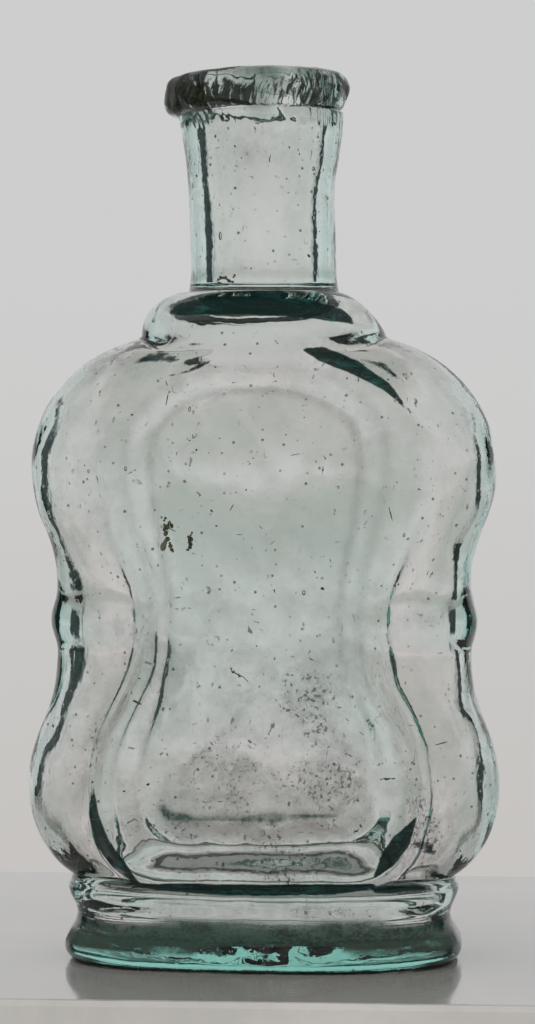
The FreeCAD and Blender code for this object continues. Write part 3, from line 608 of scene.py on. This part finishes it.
def dried_crust(points, inside):
    """Thick dried film inside: round the edge of the floor, up to a line that rises in the middle, and on the
    front of the mouth. On the front of the foot the same colour is also laid outside, in a band whose lower
    line steps up in the middle."""
    x, y, z = points.T
    hump = rise(x, -19, 10) * fall(x, 14, 10)
    film_top = np.where(y < 2, mix(5.4, 7.0, hump), 2.6) + 0.35 * ripple("crust_top", x, y)
    mouth = rise(z, MOUTH_DIRT_FOOT, 3.5) * (y < 0) * (0.45 + 0.35 * ripple("mouth_film", x, y, z))
    edge = np.maximum(rise(np.abs(y), 7.5, 2.5), rise(np.abs(x), 18, 3))
    within = np.maximum(np.clip((film_top - z) / 0.8, 0, 1) * edge, np.clip(mouth, 0, 1))
    ends = np.maximum(rise(-x, 6.2, 1.8), rise(x, 8.5, 5))
    film_foot = mix(4.2, 2.15, ends) + 0.15 * ripple("crust_foot", x, y)
    front = np.clip((z - film_foot) / 0.5, 0, 1) * np.clip((4.6 - z) / 0.6, 0, 1) * (y < -5)
    return np.where(inside > 0, within, front)


def outline_shade(points, inside):
    """Faint grey lines of painted shade along the front panel's outlines, clearest in the upper half; and a
    smudge.
    """
    x, y, z = points.T
    lines = np.zeros(x.shape)
    for panel, strength, half_width in OUTLINE_SHADES:
        lines = np.maximum(lines, strength * np.exp(-(inside_distance(panel, x, z) / half_width) ** 2))
    lines = lines * mix(0.3, 1.0, rise(z, 34, 18))
    smudge = 0.85 * ease(0.6 + along(SMUDGE, x, z) / 1.5)
    return np.maximum(lines, smudge) * (inside == 0) * (y < -4)


def sink_fields(points, body_rows):
    """Sinks the label fields front and back: an eased bevel from the rim outline to the field outline."""
    body = points[body_rows]
    x, y, z = body[..., 0], body[..., 1], body[..., 2]
    to_rim = inside_distance(RIM, x, z)
    to_field = -inside_distance(FIELD, x, z)
    share = np.clip(to_rim / np.clip(to_rim + np.clip(to_field, 0, None), 1e-6, None), 0, 1)
    share = np.where(to_field <= 0, 1.0, np.where(to_rim <= 0, 0.0, share))
    profile = mix(share, ease(share), mix(0.5, 1.0, rise(z, *SOFT_BEVEL_SPAN)))
    upper = mix(1.0, UPPER_RECESS, rise(z, *UPPER_RECESS_SPAN))
    lower = mix(LOWER_RECESS, 1.0, rise(z, *LOWER_RECESS_SPAN))
    facing = np.abs(y) > FIELD_AWAY
    points[body_rows, :, 1] = y - np.sign(y) * FIELD_RECESS * upper * lower * profile * facing
    return points


# Unevenness: spans as start and length, bells as middle and width, amounts in millimetres
MOULD_OVAL = (32, 16)  # half axes of the oval whose outward direction the skin moves in
MOULD_FOOT = (0.5, 3)
MOULD_HEAD = (82, 6)
MOULD_RIPPLE = 0.06
MOULD_INSET = 0.1
WALL_DRIFT = (0.24, 0.07)
WALL_DRIFT_FOOT = (3, 6)
NECK_RIPPLE = 0.03
FLOOR_RIPPLE = 0.12
WIDER_WAIST = 0.2
NECK_FLARE = 0.85
LIP_FOOT = (113.2, 2.2)
LIP_SEAT = (115.2, 1.1)
LIP_TAPER = (114.4, 3.6)
LIP_RADII = (9.6, 10.4, 10.9)  # beyond which the lip, its seat and its taper lie
MOUTH_FOOT = (112.0, 2.5)
MOUTH_RADIUS = 10.2
TOOL_MARKS = 44
NECK_LEAN = 1.0
LEAN_POWER = 1.3


def uneven_skin(points, body_rows, neck_rows, inner_rows):
    """Mould ripple outside, drift of the wall inside, and a ridge across the floor."""
    x, y, z = points[..., 0], points[..., 1], points[..., 2]
    outward = np.stack([x / MOULD_OVAL[0], y / MOULD_OVAL[1], np.zeros_like(z)], axis=-1)
    outward /= np.clip(np.linalg.norm(outward, axis=-1, keepdims=True), 1e-6, None)
    skin = np.zeros(points.shape[:2])
    above, below = rise(z, *MOULD_FOOT), fall(z, *MOULD_HEAD)
    mould = MOULD_RIPPLE * ripple("mould", x, y, z) * above * below - MOULD_INSET * above
    skin[body_rows] = mould[body_rows]
    drift = WALL_DRIFT[0] * ripple("wall", x, y, z) + WALL_DRIFT[1] * ripple("fine_wall", x, y, z)
    skin[inner_rows] = (drift * rise(z, *WALL_DRIFT_FOOT) * below)[inner_rows]
    skin[neck_rows] = (NECK_RIPPLE * ripple("neck", x, y, z) * rise(z, NECK_ROOT, 3))[neck_rows]
    moved = points + outward * skin[..., None]
    low = np.zeros(points.shape[:2])
    low[inner_rows] = fall(z, FLOOR, RIDGE_RISE)[inner_rows]
    left_foot, left_head, right_head, right_foot, height = RIDGE
    ridge = rise(x, left_foot, left_head - left_foot) * fall(x, right_head, right_foot - right_head)
    moved[..., 2] += height * ridge * low + FLOOR_RIPPLE * ripple("floor", x, y) * low
    return moved


def uneven_neck(points, before):
    """A waist and a neck that are wider on the right, a neck that leans to the left, and a lip with a low thick
    seat on the left, a taper on the right and tool marks in its mouth. The places are those before uneven_skin."""
    x, y, z = before[..., 0], before[..., 1], before[..., 2]
    wider = WIDER_WAIST * swell(z, 45, 10) * rise(x, 6, 14)
    flare = NECK_FLARE * rise(z, 102.5, 9) * fall(z, 113.5, 3) * rise(x, 2, 6)
    around = np.arctan2(y, x)
    radius = np.hypot(x, y)
    right, left = (np.clip(side * np.cos(around), 0, 1) ** 2 for side in (1, -1))
    lip_radius, seat_radius, taper_radius = LIP_RADII
    lip = rise(z, *LIP_FOOT) * (radius > lip_radius)
    seat = swell(z, *LIP_SEAT) * (radius > seat_radius) * left
    taper = fall(z, *LIP_TAPER) * (radius > taper_radius) * (z > 112) * right
    mouth = rise(z, *MOUTH_FOOT) * (radius < MOUTH_RADIUS)
    slant = (z - 115) * 1.7 + 2.2 * ripple("tooling", x, y)
    tooling = np.sin(around * TOOL_MARKS + slant) * (0.5 + 0.5 * right)
    shift = 0.2 * seat - 0.8 * taper + 0.14 * lip * ripple("lip", x, y, z)
    shift = shift + mouth * (0.1 * tooling + 0.1 * ripple("mouth", x, y, z))
    scale = 1 + shift / np.clip(radius, 5, None)
    lift = np.clip((z - NECK_ROOT) / (NECK_TOP - NECK_ROOT), 0, 1)
    points[..., 0] = (points[..., 0] + wider + flare) * scale - NECK_LEAN * lift ** LEAN_POWER
    points[..., 1] = points[..., 1] * scale
    high = np.clip((z - 108) / 12, 0, 1)
    points[..., 2] += high * (0.024 * x - 0.4) - 0.55 * seat + 0.12 * lip * ripple("lip_height", x, y)
    return points


# Materials

def feed(tree, socket, value):
    """Links a strand to a node's socket, or sets the socket's own value."""
    if isinstance(value, Strand):
        tree.links.new(value.socket, socket)
    else:
        socket.default_value = value


class Strand:
    """A value in a material's node tree. Arithmetic on it adds Math nodes."""

    def __init__(self, tree, socket):
        self.tree = tree
        self.socket = socket

    def work(self, operation, *values):
        node = self.tree.nodes.new("ShaderNodeMath")
        node.operation = operation
        for socket, value in zip(node.inputs, values):
            feed(self.tree, socket, value)
        return Strand(self.tree, node.outputs[0])

    def __add__(self, other):
        return self.work("ADD", self, other)

    __radd__ = __add__

    def __sub__(self, other):
        return self.work("SUBTRACT", self, other)

    def __rsub__(self, other):
        return self.work("SUBTRACT", other, self)

    def __mul__(self, other):
        return self.work("MULTIPLY", self, other)

    __rmul__ = __mul__

    def sibling(self, number):
        """Another output of the same node."""
        return Strand(self.tree, self.socket.node.outputs[number])

    def size(self):
        return self.work("ABSOLUTE", self)

    def most(self, other):
        return self.work("MAXIMUM", self, other)

    def band(self, low, high):
        """0 below low, 1 above high, smooth between."""
        node = self.tree.nodes.new("ShaderNodeMapRange")
        node.interpolation_type = "SMOOTHSTEP"
        self.tree.links.new(self.socket, node.inputs["Value"])
        node.inputs["From Min"].default_value = low
        node.inputs["From Max"].default_value = high
        return Strand(self.tree, node.outputs[0])


class Finish:
    """A node tree under construction, of a material or of the world."""

    def __init__(self, owner):
        self.owner = owner
        owner.use_nodes = True
        self.tree = owner.node_tree
        self.tree.nodes.clear()

    def node(self, kind, settings=(), inputs=(), output=0):
        """Adds a node of a type, with its settings first and then the values or links of its sockets."""
        node = self.tree.nodes.new("ShaderNode" + kind)
        for name, value in dict(settings).items():
            setattr(node, name, value)
        for name, value in dict(inputs).items():
            feed(self.tree, node.inputs[name], value)
        return Strand(self.tree, node.outputs[output]) if len(node.outputs) else node

    def noise(self, place, scale, detail=3.0, roughness=0.5, distortion=0.0):
        return self.node("TexNoise", {}, {
            "Vector": place, "Scale": scale, "Detail": detail, "Roughness": roughness, "Distortion": distortion,
        })

    def ramp(self, value, stops):
        """A colour ramp with stops (position, colour)."""
        node = self.tree.nodes.new("ShaderNodeValToRGB")
        self.tree.links.new(value.socket, node.inputs[0])
        elements = node.color_ramp.elements
        while len(elements) < len(stops):
            elements.new(0.5)
        for element, (position, colour) in zip(elements, stops):
            element.position = position
            element.color = (*colour, 1)
        return Strand(self.tree, node.outputs[0])

    def blend(self, share, first, second):
        """A colour between two colours."""
        node = self.tree.nodes.new("ShaderNodeMix")
        node.data_type = "RGBA"
        sockets = {"Factor": share, "A": first, "B": second}
        for socket in node.inputs:
            if socket.enabled and socket.name in sockets:
                feed(self.tree, socket, sockets[socket.name])
        colour = next(socket for socket in node.outputs if socket.enabled)
        return Strand(self.tree, colour)


def place_on(finish, stretch=(1, 1, 1)):
    """Object coordinates, stretched."""
    place = finish.node("TexCoord", output=3)
    return finish.node("Mapping", {}, {"Vector": place, "Scale": stretch})


GLASS_IOR = 1.52
AQUA = (0.12, 0.87, 0.76, 1)
AQUA_DENSITY = 37.0
GLASS_COLOUR = (1.0, 0.938, 0.928, 1)
GLASS_REFLECTION = (0.4, 0.4, 0.4, 1)
# Colours of the painted shade where light is darkened in thick glass
SHADE_DEEP_GREEN = (0.003, 0.016, 0.013, 1)
SHADE_MID_GREEN = (0.012, 0.085, 0.07, 1)
RESIDUE = (0.022, 0.024, 0.014, 1)
# Old film, and the dark colour of the painted shade along the panel's outlines
OLD_FILM_AND_SHADE = (0.026, 0.066, 0.050, 1)
# Painted light: a much lighter colour of the old film, for the crust inside, to make up for its dim light
LIGHTENED_CRUST = (0.12, 0.34, 0.25, 1)
DUST = (0.26, 0.255, 0.235, 1)
# Soot, and the colour of the painted shade on the lip's edges and the painted shadow under the foot
SOOT_AND_SHADE = (0.008, 0.010, 0.008, 1)
OLIVE = (0.040, 0.044, 0.026, 1)


def aqua_glass():
    """Pale aqua glass, tinted by its thickness. Over it lie dried film, specks, scratches, crust and soot. Painted
    shade is laid in too: deep green where light runs a long way through the wall, grey along the panel's outlines,
    and dark along the lip's edges and under the foot; the crust inside is painted lighter for its dim light."""
    finish = Finish(bpy.data.materials.new("aqua_glass"))
    place = place_on(finish)
    inside, refraction_shade, grime, stain_and_shade, shade, crust = (
        finish.node("Attribute", {"attribute_name": name}, output=2)
        for name in ("inside", "refraction_shade", "grime", "stain_and_shade", "shade", "crust"))

    patches = finish.noise(place, 85.0, 4.0, 0.65)
    cloud = finish.noise(place, 420.0, 5.0, 0.7)
    grain = finish.noise(place, 1900.0, 3.0, 0.6)
    dirt = grime * patches.band(0.30, 0.66) * 1.5

    cells = finish.node("TexVoronoi", {"feature": "F1"}, {"Vector": place, "Scale": 640.0})
    pick = cells.sibling(1)
    pick = finish.node("SeparateColor", {}, {0: pick})
    lucky = pick.band(0.93, 0.62)
    here = (pick.sibling(1) + dirt * 0.30 - 0.72).band(0.0, 0.12)
    specks = (1 - cells.band(0.05, 0.19)) * here * (0.4 + lucky * 0.6)
    capped = dirt.work("MINIMUM", dirt, 1.3)
    mottle = (grain * 0.75 + cloud * 0.25 + capped * 0.11).band(0.65, 0.75) * dirt.band(0.5, 1.15)
    scratches = finish.noise(place_on(finish, (1.0, 1.0, 0.10)), 1500.0, 2.0).band(0.70, 0.78)
    hairs = finish.noise(place_on(finish, (0.16, 1.0, 1.0)), 1300.0, 2.0, 0.4, 0.8).band(0.71, 0.77)

    ripple_fine = finish.noise(place, 230.0, 3.0, 0.5)
    bump = finish.node("Bump", {}, {"Height": ripple_fine + scratches * 0.2 + specks * 0.4, "Strength": 0.16,
                                    "Distance": 0.0006})
    glass = finish.node("BsdfPrincipled", {}, {
        "Base Color": GLASS_COLOUR, "Transmission Weight": 1.0, "IOR": GLASS_IOR,
        "Specular Tint": GLASS_REFLECTION, "Roughness": cloud.band(0.45, 0.8) * dirt * 0.05, "Normal": bump,
    })
    # The film also carries the painted shade along the panel's outlines, from the shade attribute
    film = cloud.band(0.3, 0.75) * dirt * 0.29 + 0.006 + shade * (0.6 + cloud.band(0.3, 0.7) * 0.6)
    thick_film = crust * (0.62 + cloud.band(0.25, 0.6) * 0.33)
    flecks = (grain * 0.6 + cloud * 0.4 + patches * 0.25).band(0.58, 0.72) * 0.78
    # Inside, the crust takes the lightened colour: painted light
    crust_colour = finish.blend(flecks, finish.blend(inside, OLD_FILM_AND_SHADE, LIGHTENED_CRUST), OLIVE)
    deposit_colour = finish.blend(thick_film.band(0.0, 0.3), DUST, crust_colour)
    # Where the painted outline shade and the smudge are strong, they take the old film's dark colour
    deposit_colour = finish.blend(shade.band(0.4, 0.7), deposit_colour, OLD_FILM_AND_SHADE)
    deposit_colour = finish.blend(mottle.most(specks), deposit_colour, RESIDUE)
    deposit = finish.node("BsdfPrincipled", {}, {"Base Color": deposit_colour, "Roughness": 0.8})
    cover = film.most(thick_film).most(mottle * (inside * 0.6 + 0.25)).most(specks * 0.85)
    cover = cover.most((scratches * 0.16 + hairs * 0.12) * (0.4 + dirt))
    dusty = finish.node("MixShader", {}, {0: cover, 1: glass, 2: deposit})

    # Painted shade: deep green strokes and ring, with teal streaks, where light is darkened in thick glass
    streaks = finish.noise(place_on(finish, (0.35, 1.0, 1.5)), 520.0, 5.0, 0.7, 0.6)
    refraction_shade_colour = finish.blend(streaks.band(0.50, 0.72), SHADE_DEEP_GREEN, SHADE_MID_GREEN)
    deep = finish.node("BsdfPrincipled", {}, {"Base Color": refraction_shade_colour, "Roughness": 0.12,
                                              "Specular IOR Level": 0.12})
    ragged = refraction_shade + (cloud - 0.5) * 0.42 + (streaks - 0.5) * 0.26
    refraction_shade_share = ragged.band(0.42, 0.60) * refraction_shade.band(0.2, 0.5) * 0.97
    surface = finish.node("MixShader", {}, {0: refraction_shade_share, 1: dusty, 2: deep})

    slanted = finish.node("TexCoord", output=3)
    slanted = finish.node("Mapping", {"vector_type": "TEXTURE"}, {"Vector": slanted, "Rotation": (0, 0.55, 0),
                                                                  "Scale": (1, 1, 5)})
    tool_marks = finish.noise(slanted, 2300.0, 3.0, 0.6)
    # Soot on the lip; the same dark is painted shade on the lip's edges and painted shadow under the foot
    soot_and_shade_colour = finish.blend(tool_marks.band(0.40, 0.66), SOOT_AND_SHADE, OLIVE)
    soot = finish.node("BsdfPrincipled", {}, {"Base Color": soot_and_shade_colour, "Roughness": 0.3,
                                                  "Specular IOR Level": 0.03})
    uneven = stain_and_shade + (tool_marks - 0.5) * (1.5 * inside + 0.5) + (cloud - 0.5) * 0.7
    soot_and_shade_share = uneven.band(0.40, 0.66) * stain_and_shade.band(0.05, 0.3) * 0.94
    surface = finish.node("MixShader", {}, {0: soot_and_shade_share, 1: surface, 2: soot})
    tint = finish.node("VolumeAbsorption", {}, {"Color": AQUA, "Density": AQUA_DENSITY})
    finish.node("OutputMaterial", {}, {"Surface": surface, "Volume": tint})
    return finish.owner


def dried_residue():
    """Old dried contents: dark olive crumbs with paler patches."""
    finish = Finish(bpy.data.materials.new("dried_residue"))
    place = place_on(finish)
    colour = finish.blend(finish.noise(place, 1500.0, 4.0, 0.7).band(0.35, 0.68), (0.045, 0.042, 0.014, 1),
                          (0.28, 0.24, 0.09, 1))
    grain = finish.noise(place, 3000.0, 3.0)
    bump = finish.node("Bump", {}, {"Height": grain, "Strength": 0.5, "Distance": 0.0002})
    surface = finish.node("BsdfPrincipled", {}, {"Base Color": colour, "Roughness": 0.75, "Normal": bump})
    finish.node("OutputMaterial", {}, {"Surface": surface})
    return finish.owner


def table_stone(name, lightness, coat):
    """Pale stone with faint clouding and fine scratches, polished by its coat."""
    finish = Finish(bpy.data.materials.new(name))
    place = place_on(finish)
    clouds = finish.noise(place, 14.0, 6.0, 0.6, 0.4)
    veins = finish.noise(place, 60.0, 8.0, 0.7, 1.2).band(0.4, 0.7)
    dark, pale, vein = ((lightness * share, lightness * share * 0.95, lightness * share * 0.89, 1)
                        for share in (0.9, 1.08, 0.75))
    colour = finish.blend(clouds.band(0.35, 0.7), dark, pale)
    colour = finish.blend(veins * 0.3, colour, vein)
    shine = finish.noise(place_on(finish, (1.0, 4.0, 1.0)), 300.0, 4.0).band(0.3, 0.8)
    surface = finish.node("BsdfPrincipled", {}, {"Base Color": colour, "Roughness": shine * 0.08 + 0.07,
                                                 "Specular IOR Level": 0.9, "Coat Weight": coat,
                                                 "Coat Roughness": 0.06})
    finish.node("OutputMaterial", {}, {"Surface": surface})
    return finish.owner


# Seeds in the glass and residue on it

def ball(rings, sides):
    """Unit ball: its points and faces, with outward faces."""
    rise = np.linspace(0, np.pi, rings + 1)[1:-1]
    turn = np.arange(sides) / sides * TAU
    grid = np.stack([np.outer(np.sin(rise), np.cos(turn)), np.outer(np.sin(rise), np.sin(turn)),
                     np.outer(-np.cos(rise), np.ones(sides))], axis=-1).reshape(-1, 3)
    quads = grid_faces(len(rise), sides).tolist()
    low, high = len(grid), len(grid) + 1
    last = (len(rise) - 1) * sides
    fans = [(low, (side + 1) % sides, side) for side in range(sides)]
    fans += [(high, last + side, last + (side + 1) % sides) for side in range(sides)]
    return np.concatenate([grid, [(0, 0, -1), (0, 0, 1)]]), quads, fans


def scattered(shape, centres, frames, radii):
    """Copies of a shape: each stretched by its radii along its own three axes and moved to its centre."""
    points, quads, fans = shape
    placed = np.einsum("pk,nk,nkd->npd", points, radii, frames) + centres[:, None, :]
    shift = np.arange(len(centres))[:, None, None] * len(points)
    quads = (np.array(quads)[None] + shift).reshape(-1, 4).tolist()
    fans = (np.array(fans)[None] + shift).reshape(-1, 3).tolist()
    return placed.reshape(-1, 3), quads + fans


def skin_frames(grid, row, column):
    """Places on a skin at fractional rows and columns, with axes round, up and out of the glass there."""
    low, left = row.astype(int), column.astype(int)
    up_share, side_share = (row - low)[:, None], (column - left)[:, None]
    right = (left + 1) % grid.shape[1]
    left = left % grid.shape[1]
    corner = grid[low, left]
    place = mix(mix(corner, grid[low, right], side_share),
                mix(grid[low + 1, left], grid[low + 1, right], side_share), up_share)
    across = grid[low, right] - corner
    upward = grid[low + 1, left] - corner
    across /= np.linalg.norm(across, axis=1, keepdims=True)
    outward = np.cross(across, upward)
    outward /= np.linalg.norm(outward, axis=1, keepdims=True)
    return place, np.stack([across, np.cross(outward, across), outward], axis=1)


def span(rows, low, high):
    """Numbers of two rows of a part, counted from its first row, or from its last if negative."""
    return rows.start + low, (rows.start if high > 0 else rows.stop) + high


def seed_voids(grid, body_rows, neck_rows):
    """Small upright bubbles at mid wall, most of them in the neck, as inside-out balls."""
    draw = np.random.default_rng(71)
    neck, body = 34, 46
    row = np.concatenate([draw.uniform(*span(neck_rows, *NECK_SEEDS), neck),
                          draw.uniform(*span(body_rows, *BODY_SEEDS), body)])
    column = draw.uniform(0, COLUMNS, neck + body)
    place, frames = skin_frames(grid, row, column)
    deep = np.where(np.arange(neck + body) < neck, 1.3, 0.85)
    size = np.exp(draw.uniform(math.log(0.07), math.log(0.27), neck + body))
    tall = draw.uniform(1.0, 2.6, neck + body)
    side = np.sign(frames[:, 2] @ np.array([0, 1, 0]) * place[:, 1])
    frames = frames * np.where(side == 0, 1, side)[:, None, None]
    centres = place - frames[:, 2] * deep[:, None]
    radii = np.stack([size, size * tall, size * 0.9], axis=1)
    points, quads, fans = ball(7, 12)
    inside_out = (points, [face[::-1] for face in quads], [face[::-1] for face in fans])
    return scattered(inside_out, centres, frames, radii)


def crumbs(grid, inner_rows, neck_rows):
    """Dried residue on the inside: many specks, some of them hair-like."""
    draw = np.random.default_rng(72)
    body, neck = 330, 90
    row = np.concatenate([draw.uniform(*span(inner_rows, *WALL_CRUMBS), body),
                          draw.uniform(*span(neck_rows, *BORE_CRUMBS), neck)])
    column = draw.uniform(0, COLUMNS, body + neck)
    place, frames = skin_frames(grid, row, column)
    size = np.exp(draw.normal(math.log(0.075), 0.42, body + neck)).clip(0.035, 0.26)
    hair = draw.uniform(size=body + neck) < 0.30
    long = np.where(hair, draw.uniform(3, 7, body + neck), draw.uniform(1, 1.8, body + neck))
    thin = np.where(long > 2.5, 0.45, 1.0)
    spin = draw.uniform(0, TAU, body + neck)
    across = frames[:, 0] * np.cos(spin)[:, None] + frames[:, 1] * np.sin(spin)[:, None]
    frames = np.stack([across, np.cross(frames[:, 2], across), frames[:, 2]], axis=1)
    radii = np.stack([size * long, size * thin, size * 0.35], axis=1)
    return scattered(ball(3, 5), place, frames, radii)


# Large crumbs: x, z on the front wall, length, width, turn from upright in degrees
LARGE_CRUMBS = (
    (-11.7, 57.7, 2.1, 0.6, 12), (-11.3, 56.2, 1.1, 0.45, -20), (-12.0, 59.2, 0.8, 0.35, 5),
    (-11.5, 58.6, 0.7, 0.4, 60), (-8.75, 56.6, 1.1, 0.45, -6), (-8.6, 57.6, 0.6, 0.3, 15),
    (-8.9, 55.8, 0.5, 0.3, 40), (-4.5, 91.6, 0.55, 0.34, 70), (-3.7, 91.2, 0.5, 0.3, -50),
    (-3.0, 91.8, 0.3, 0.2, 20), (-4.9, 91.0, 0.3, 0.2, 0), (17.3, 25.5, 0.75, 0.17, 86),
    (-21.3, 31.0, 0.3, 0.16, 0), (-20.6, 27.6, 0.35, 0.2, 30), (-21.8, 26.6, 0.4, 0.2, 80),
    (13.2, 18.6, 0.4, 0.26, 40), (13.8, 19.3, 0.3, 0.18, -20), (8.8, 66.2, 0.5, 0.14, 10),
    (9.1, 67.6, 0.28, 0.12, -30), (-27.8, 71.0, 0.5, 0.3, 8),
)


def large_crumbs(grid, inner_rows):
    """The noted crumbs, each a cluster of flat lumps on the nearest point of the front inner wall."""
    draw = np.random.default_rng(73)
    flat = grid[inner_rows.start - BORE_ROWS:inner_rows.stop].reshape(-1, 3)
    front = np.nonzero(flat[:, 1] < -1)[0]
    centres, radii, frames = [], [], []
    for x, z, length, width, lean in LARGE_CRUMBS:
        nearest = front[np.argmin((flat[front, 0] - x) ** 2 + (flat[front, 2] - z) ** 2)]
        turn = math.radians(lean)
        long_way = np.array([math.sin(turn), 0, math.cos(turn)])
        for number in range(5):
            shift = (number - 2) / 2.6
            centres.append(np.array([x, flat[nearest, 1], z]) + long_way * shift * length
                           + draw.normal(size=3) * (0.22 * width, 0.02, 0.22 * width))
            frames.append(np.array([(long_way[2], 0, -long_way[0]), long_way, (0, 1, 0)]))
            size = draw.uniform(0.45, 1.0) * (1 - 0.3 * abs(shift))
            radii.append(np.array([width, length * 0.42, 0.12]) * size)
    return scattered(ball(5, 8), np.array(centres), np.array(frames), np.array(radii))


def joined(*parts):
    """Several point and face lists as one."""
    points, faces = [], []
    for part_points, part_faces in parts:
        shift = sum(len(some) for some in points)
        points.append(part_points)
        faces += [[corner + shift for corner in face] for face in part_faces]
    return np.concatenate(points), faces


# The bottle

points, faces, marks, (grid, body_rows, neck_rows, inner_rows) = blown_glass()
void_points, void_faces = seed_voids(grid, body_rows, neck_rows)
bottle_points, bottle_faces = joined((points, faces), (void_points, void_faces))
bottle = make_piece("blown_glass", bottle_points, bottle_faces, "aqua_glass", [aqua_glass()])
for name, values in marks.items():
    padded = np.concatenate([values, np.zeros(len(void_points))]).astype(np.float32)
    bottle.data.attributes.new(name, "FLOAT", "POINT").data.foreach_set("value", padded)
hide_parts("moulded_body", "neck_tube", "ring_lip", "pontil_scar")
make_piece("residue_crumbs", *joined(crumbs(grid, inner_rows, neck_rows), large_crumbs(grid, inner_rows)),
           "scar_glass", [dried_residue()], smooth=False)


# Table, light and camera

TABLE_BACK = 0.085
TABLE_FRONT = -0.038
TABLE_HALF_WIDTH = 0.45
TABLE_THICKNESS = 0.03
TABLE_GAP = 0.00006


def table():
    """Pale slab, its top a hair below the ground line, so that glass and stone don't share a face."""
    low = np.array([-TABLE_HALF_WIDTH, TABLE_FRONT, -TABLE_THICKNESS])
    high = np.array([TABLE_HALF_WIDTH, TABLE_BACK, -TABLE_GAP])
    corners = np.array([[(low, high)[i][0], (low, high)[j][1], (low, high)[k][2]]
                        for i in (0, 1) for j in (0, 1) for k in (0, 1)])
    quads = [(1, 5, 7, 3), (0, 1, 3, 2), (4, 6, 7, 5), (0, 4, 5, 1), (2, 3, 7, 6), (0, 2, 6, 4)]
    mesh = bpy.data.meshes.new("table")
    mesh.from_pydata(corners.tolist(), [], quads)
    mesh.materials.append(table_stone("table_top", 0.40, 0.45))
    # Painted light: the sides take a lighter copy of the stone than the top, standing in for light on the front
    # face
    mesh.materials.append(table_stone("table_edge_lightened", 0.62, 0.0))
    for face in mesh.polygons[1:]:
        face.material_index = 1
    slab = bpy.data.objects.new("table", mesh)
    bpy.context.scene.collection.objects.link(slab)
    edge = slab.modifiers.new("edge", "BEVEL")
    edge.width = 0.0008
    edge.segments = 3


def studio():
    """Pale backdrop for the eye and soft even light. In glass and gloss the room has dark flanks and a dark
    ceiling."""
    world = bpy.data.worlds.new("studio")
    bpy.context.scene.world = world
    finish = Finish(world)
    direction = finish.node("TexCoord", output=0)
    x = finish.node("SeparateXYZ", {}, {0: direction})
    y, z = x.sibling(1), x.sibling(2)
    azimuth = x.size().work("ARCTAN2", x.size(), y.size())
    flank = azimuth.band(0.80, 0.88) * (1 - azimuth.band(1.14, 1.24))
    flank = flank * z.band(-0.42, -0.26) * (1 - z.band(0.26, 0.42))
    flank = flank.most(z.band(0.80, 0.92))
    backdrop = finish.ramp(z * 0.5 + 0.5, ((0.44, (0.565, 0.546, 0.527)), (0.50, (0.606, 0.603, 0.598)),
                                           (0.52, (0.614, 0.614, 0.614)), (0.75, (0.62, 0.62, 0.62))))
    refracted = finish.ramp(z * 0.5 + 0.5, ((0.43, (0.50, 0.515, 0.50)), (0.475, (0.59, 0.58, 0.575)),
                                            (0.50, (0.665, 0.655, 0.66)), (0.512, (0.675, 0.675, 0.68)),
                                            (0.535, (0.62, 0.62, 0.625)), (0.75, (0.62, 0.62, 0.62))))
    seen = finish.node("LightPath", output=0)
    through = finish.node("LightPath", output=6)
    glossy = finish.node("LightPath", output=3)
    dim = finish.blend(flank, refracted, (0.003, 0.018, 0.016, 1))
    glass_side = finish.node("Background", {}, {"Color": dim, "Strength": 1.0})
    eye_side = finish.node("Background", {}, {"Color": backdrop, "Strength": 1.0})
    light_side = finish.node("Background", {}, {"Color": (0.95, 0.96, 0.97, 1), "Strength": 0.75})
    first = finish.node("MixShader", {}, {0: (through + glossy).band(0.2, 0.8), 1: light_side, 2: glass_side})
    second = finish.node("MixShader", {}, {0: seen, 1: first, 2: eye_side})
    finish.node("OutputWorld", {}, {"Surface": second})


def lamp(name, place, aim, side, power):
    """Square soft light that looks at aim."""
    light = bpy.data.lights.new(name, "AREA")
    light.size = side
    light.energy = power
    holder = bpy.data.objects.new(name, light)
    bpy.context.scene.collection.objects.link(holder)
    holder.location = place
    holder.rotation_euler = (Vector(aim) - Vector(place)).to_track_quat("-Z", "Y").to_euler()
    holder.visible_glossy = False
    holder.visible_transmission = False


# Where the photograph was taken from, in its 535 by 1024 pixels and in metres
IMAGE_WIDTH = 535
IMAGE_HEIGHT = 1024
SENSOR = 36.0
CAMERA_AWAY = 0.457
CAMERA_HEIGHT = 0.071
CAMERA_TURN = math.radians(4.5)
HORIZON_ROW = 433
AXIS_COLUMN = 264
FOCAL_PIXELS = 3370


def camera():
    data = bpy.data.cameras.new("camera")
    data.sensor_width = SENSOR
    data.lens = FOCAL_PIXELS / IMAGE_HEIGHT * SENSOR
    data.clip_start = 0.01
    data.clip_end = 20
    holder = bpy.data.objects.new("camera", data)
    bpy.context.scene.collection.objects.link(holder)
    place = (CAMERA_AWAY * math.sin(CAMERA_TURN), -CAMERA_AWAY * math.cos(CAMERA_TURN), CAMERA_HEIGHT)
    holder.location = place
    pitch = math.atan((IMAGE_HEIGHT / 2 - HORIZON_ROW) / FOCAL_PIXELS)
    yaw = math.atan((AXIS_COLUMN - IMAGE_WIDTH / 2) / FOCAL_PIXELS)
    holder.rotation_euler = (math.pi / 2 - pitch, 0, CAMERA_TURN + yaw)
    bpy.context.scene.camera = holder


table()
studio()
lamp("overhead", (-0.3, -0.2, 1.4), (0, 0, 0.06), 1.2, 6.0)
camera()
bpy.context.scene.view_settings.view_transform = "Standard"
bpy.context.scene.cycles.max_bounces = 24
bpy.context.scene.cycles.transmission_bounces = 24
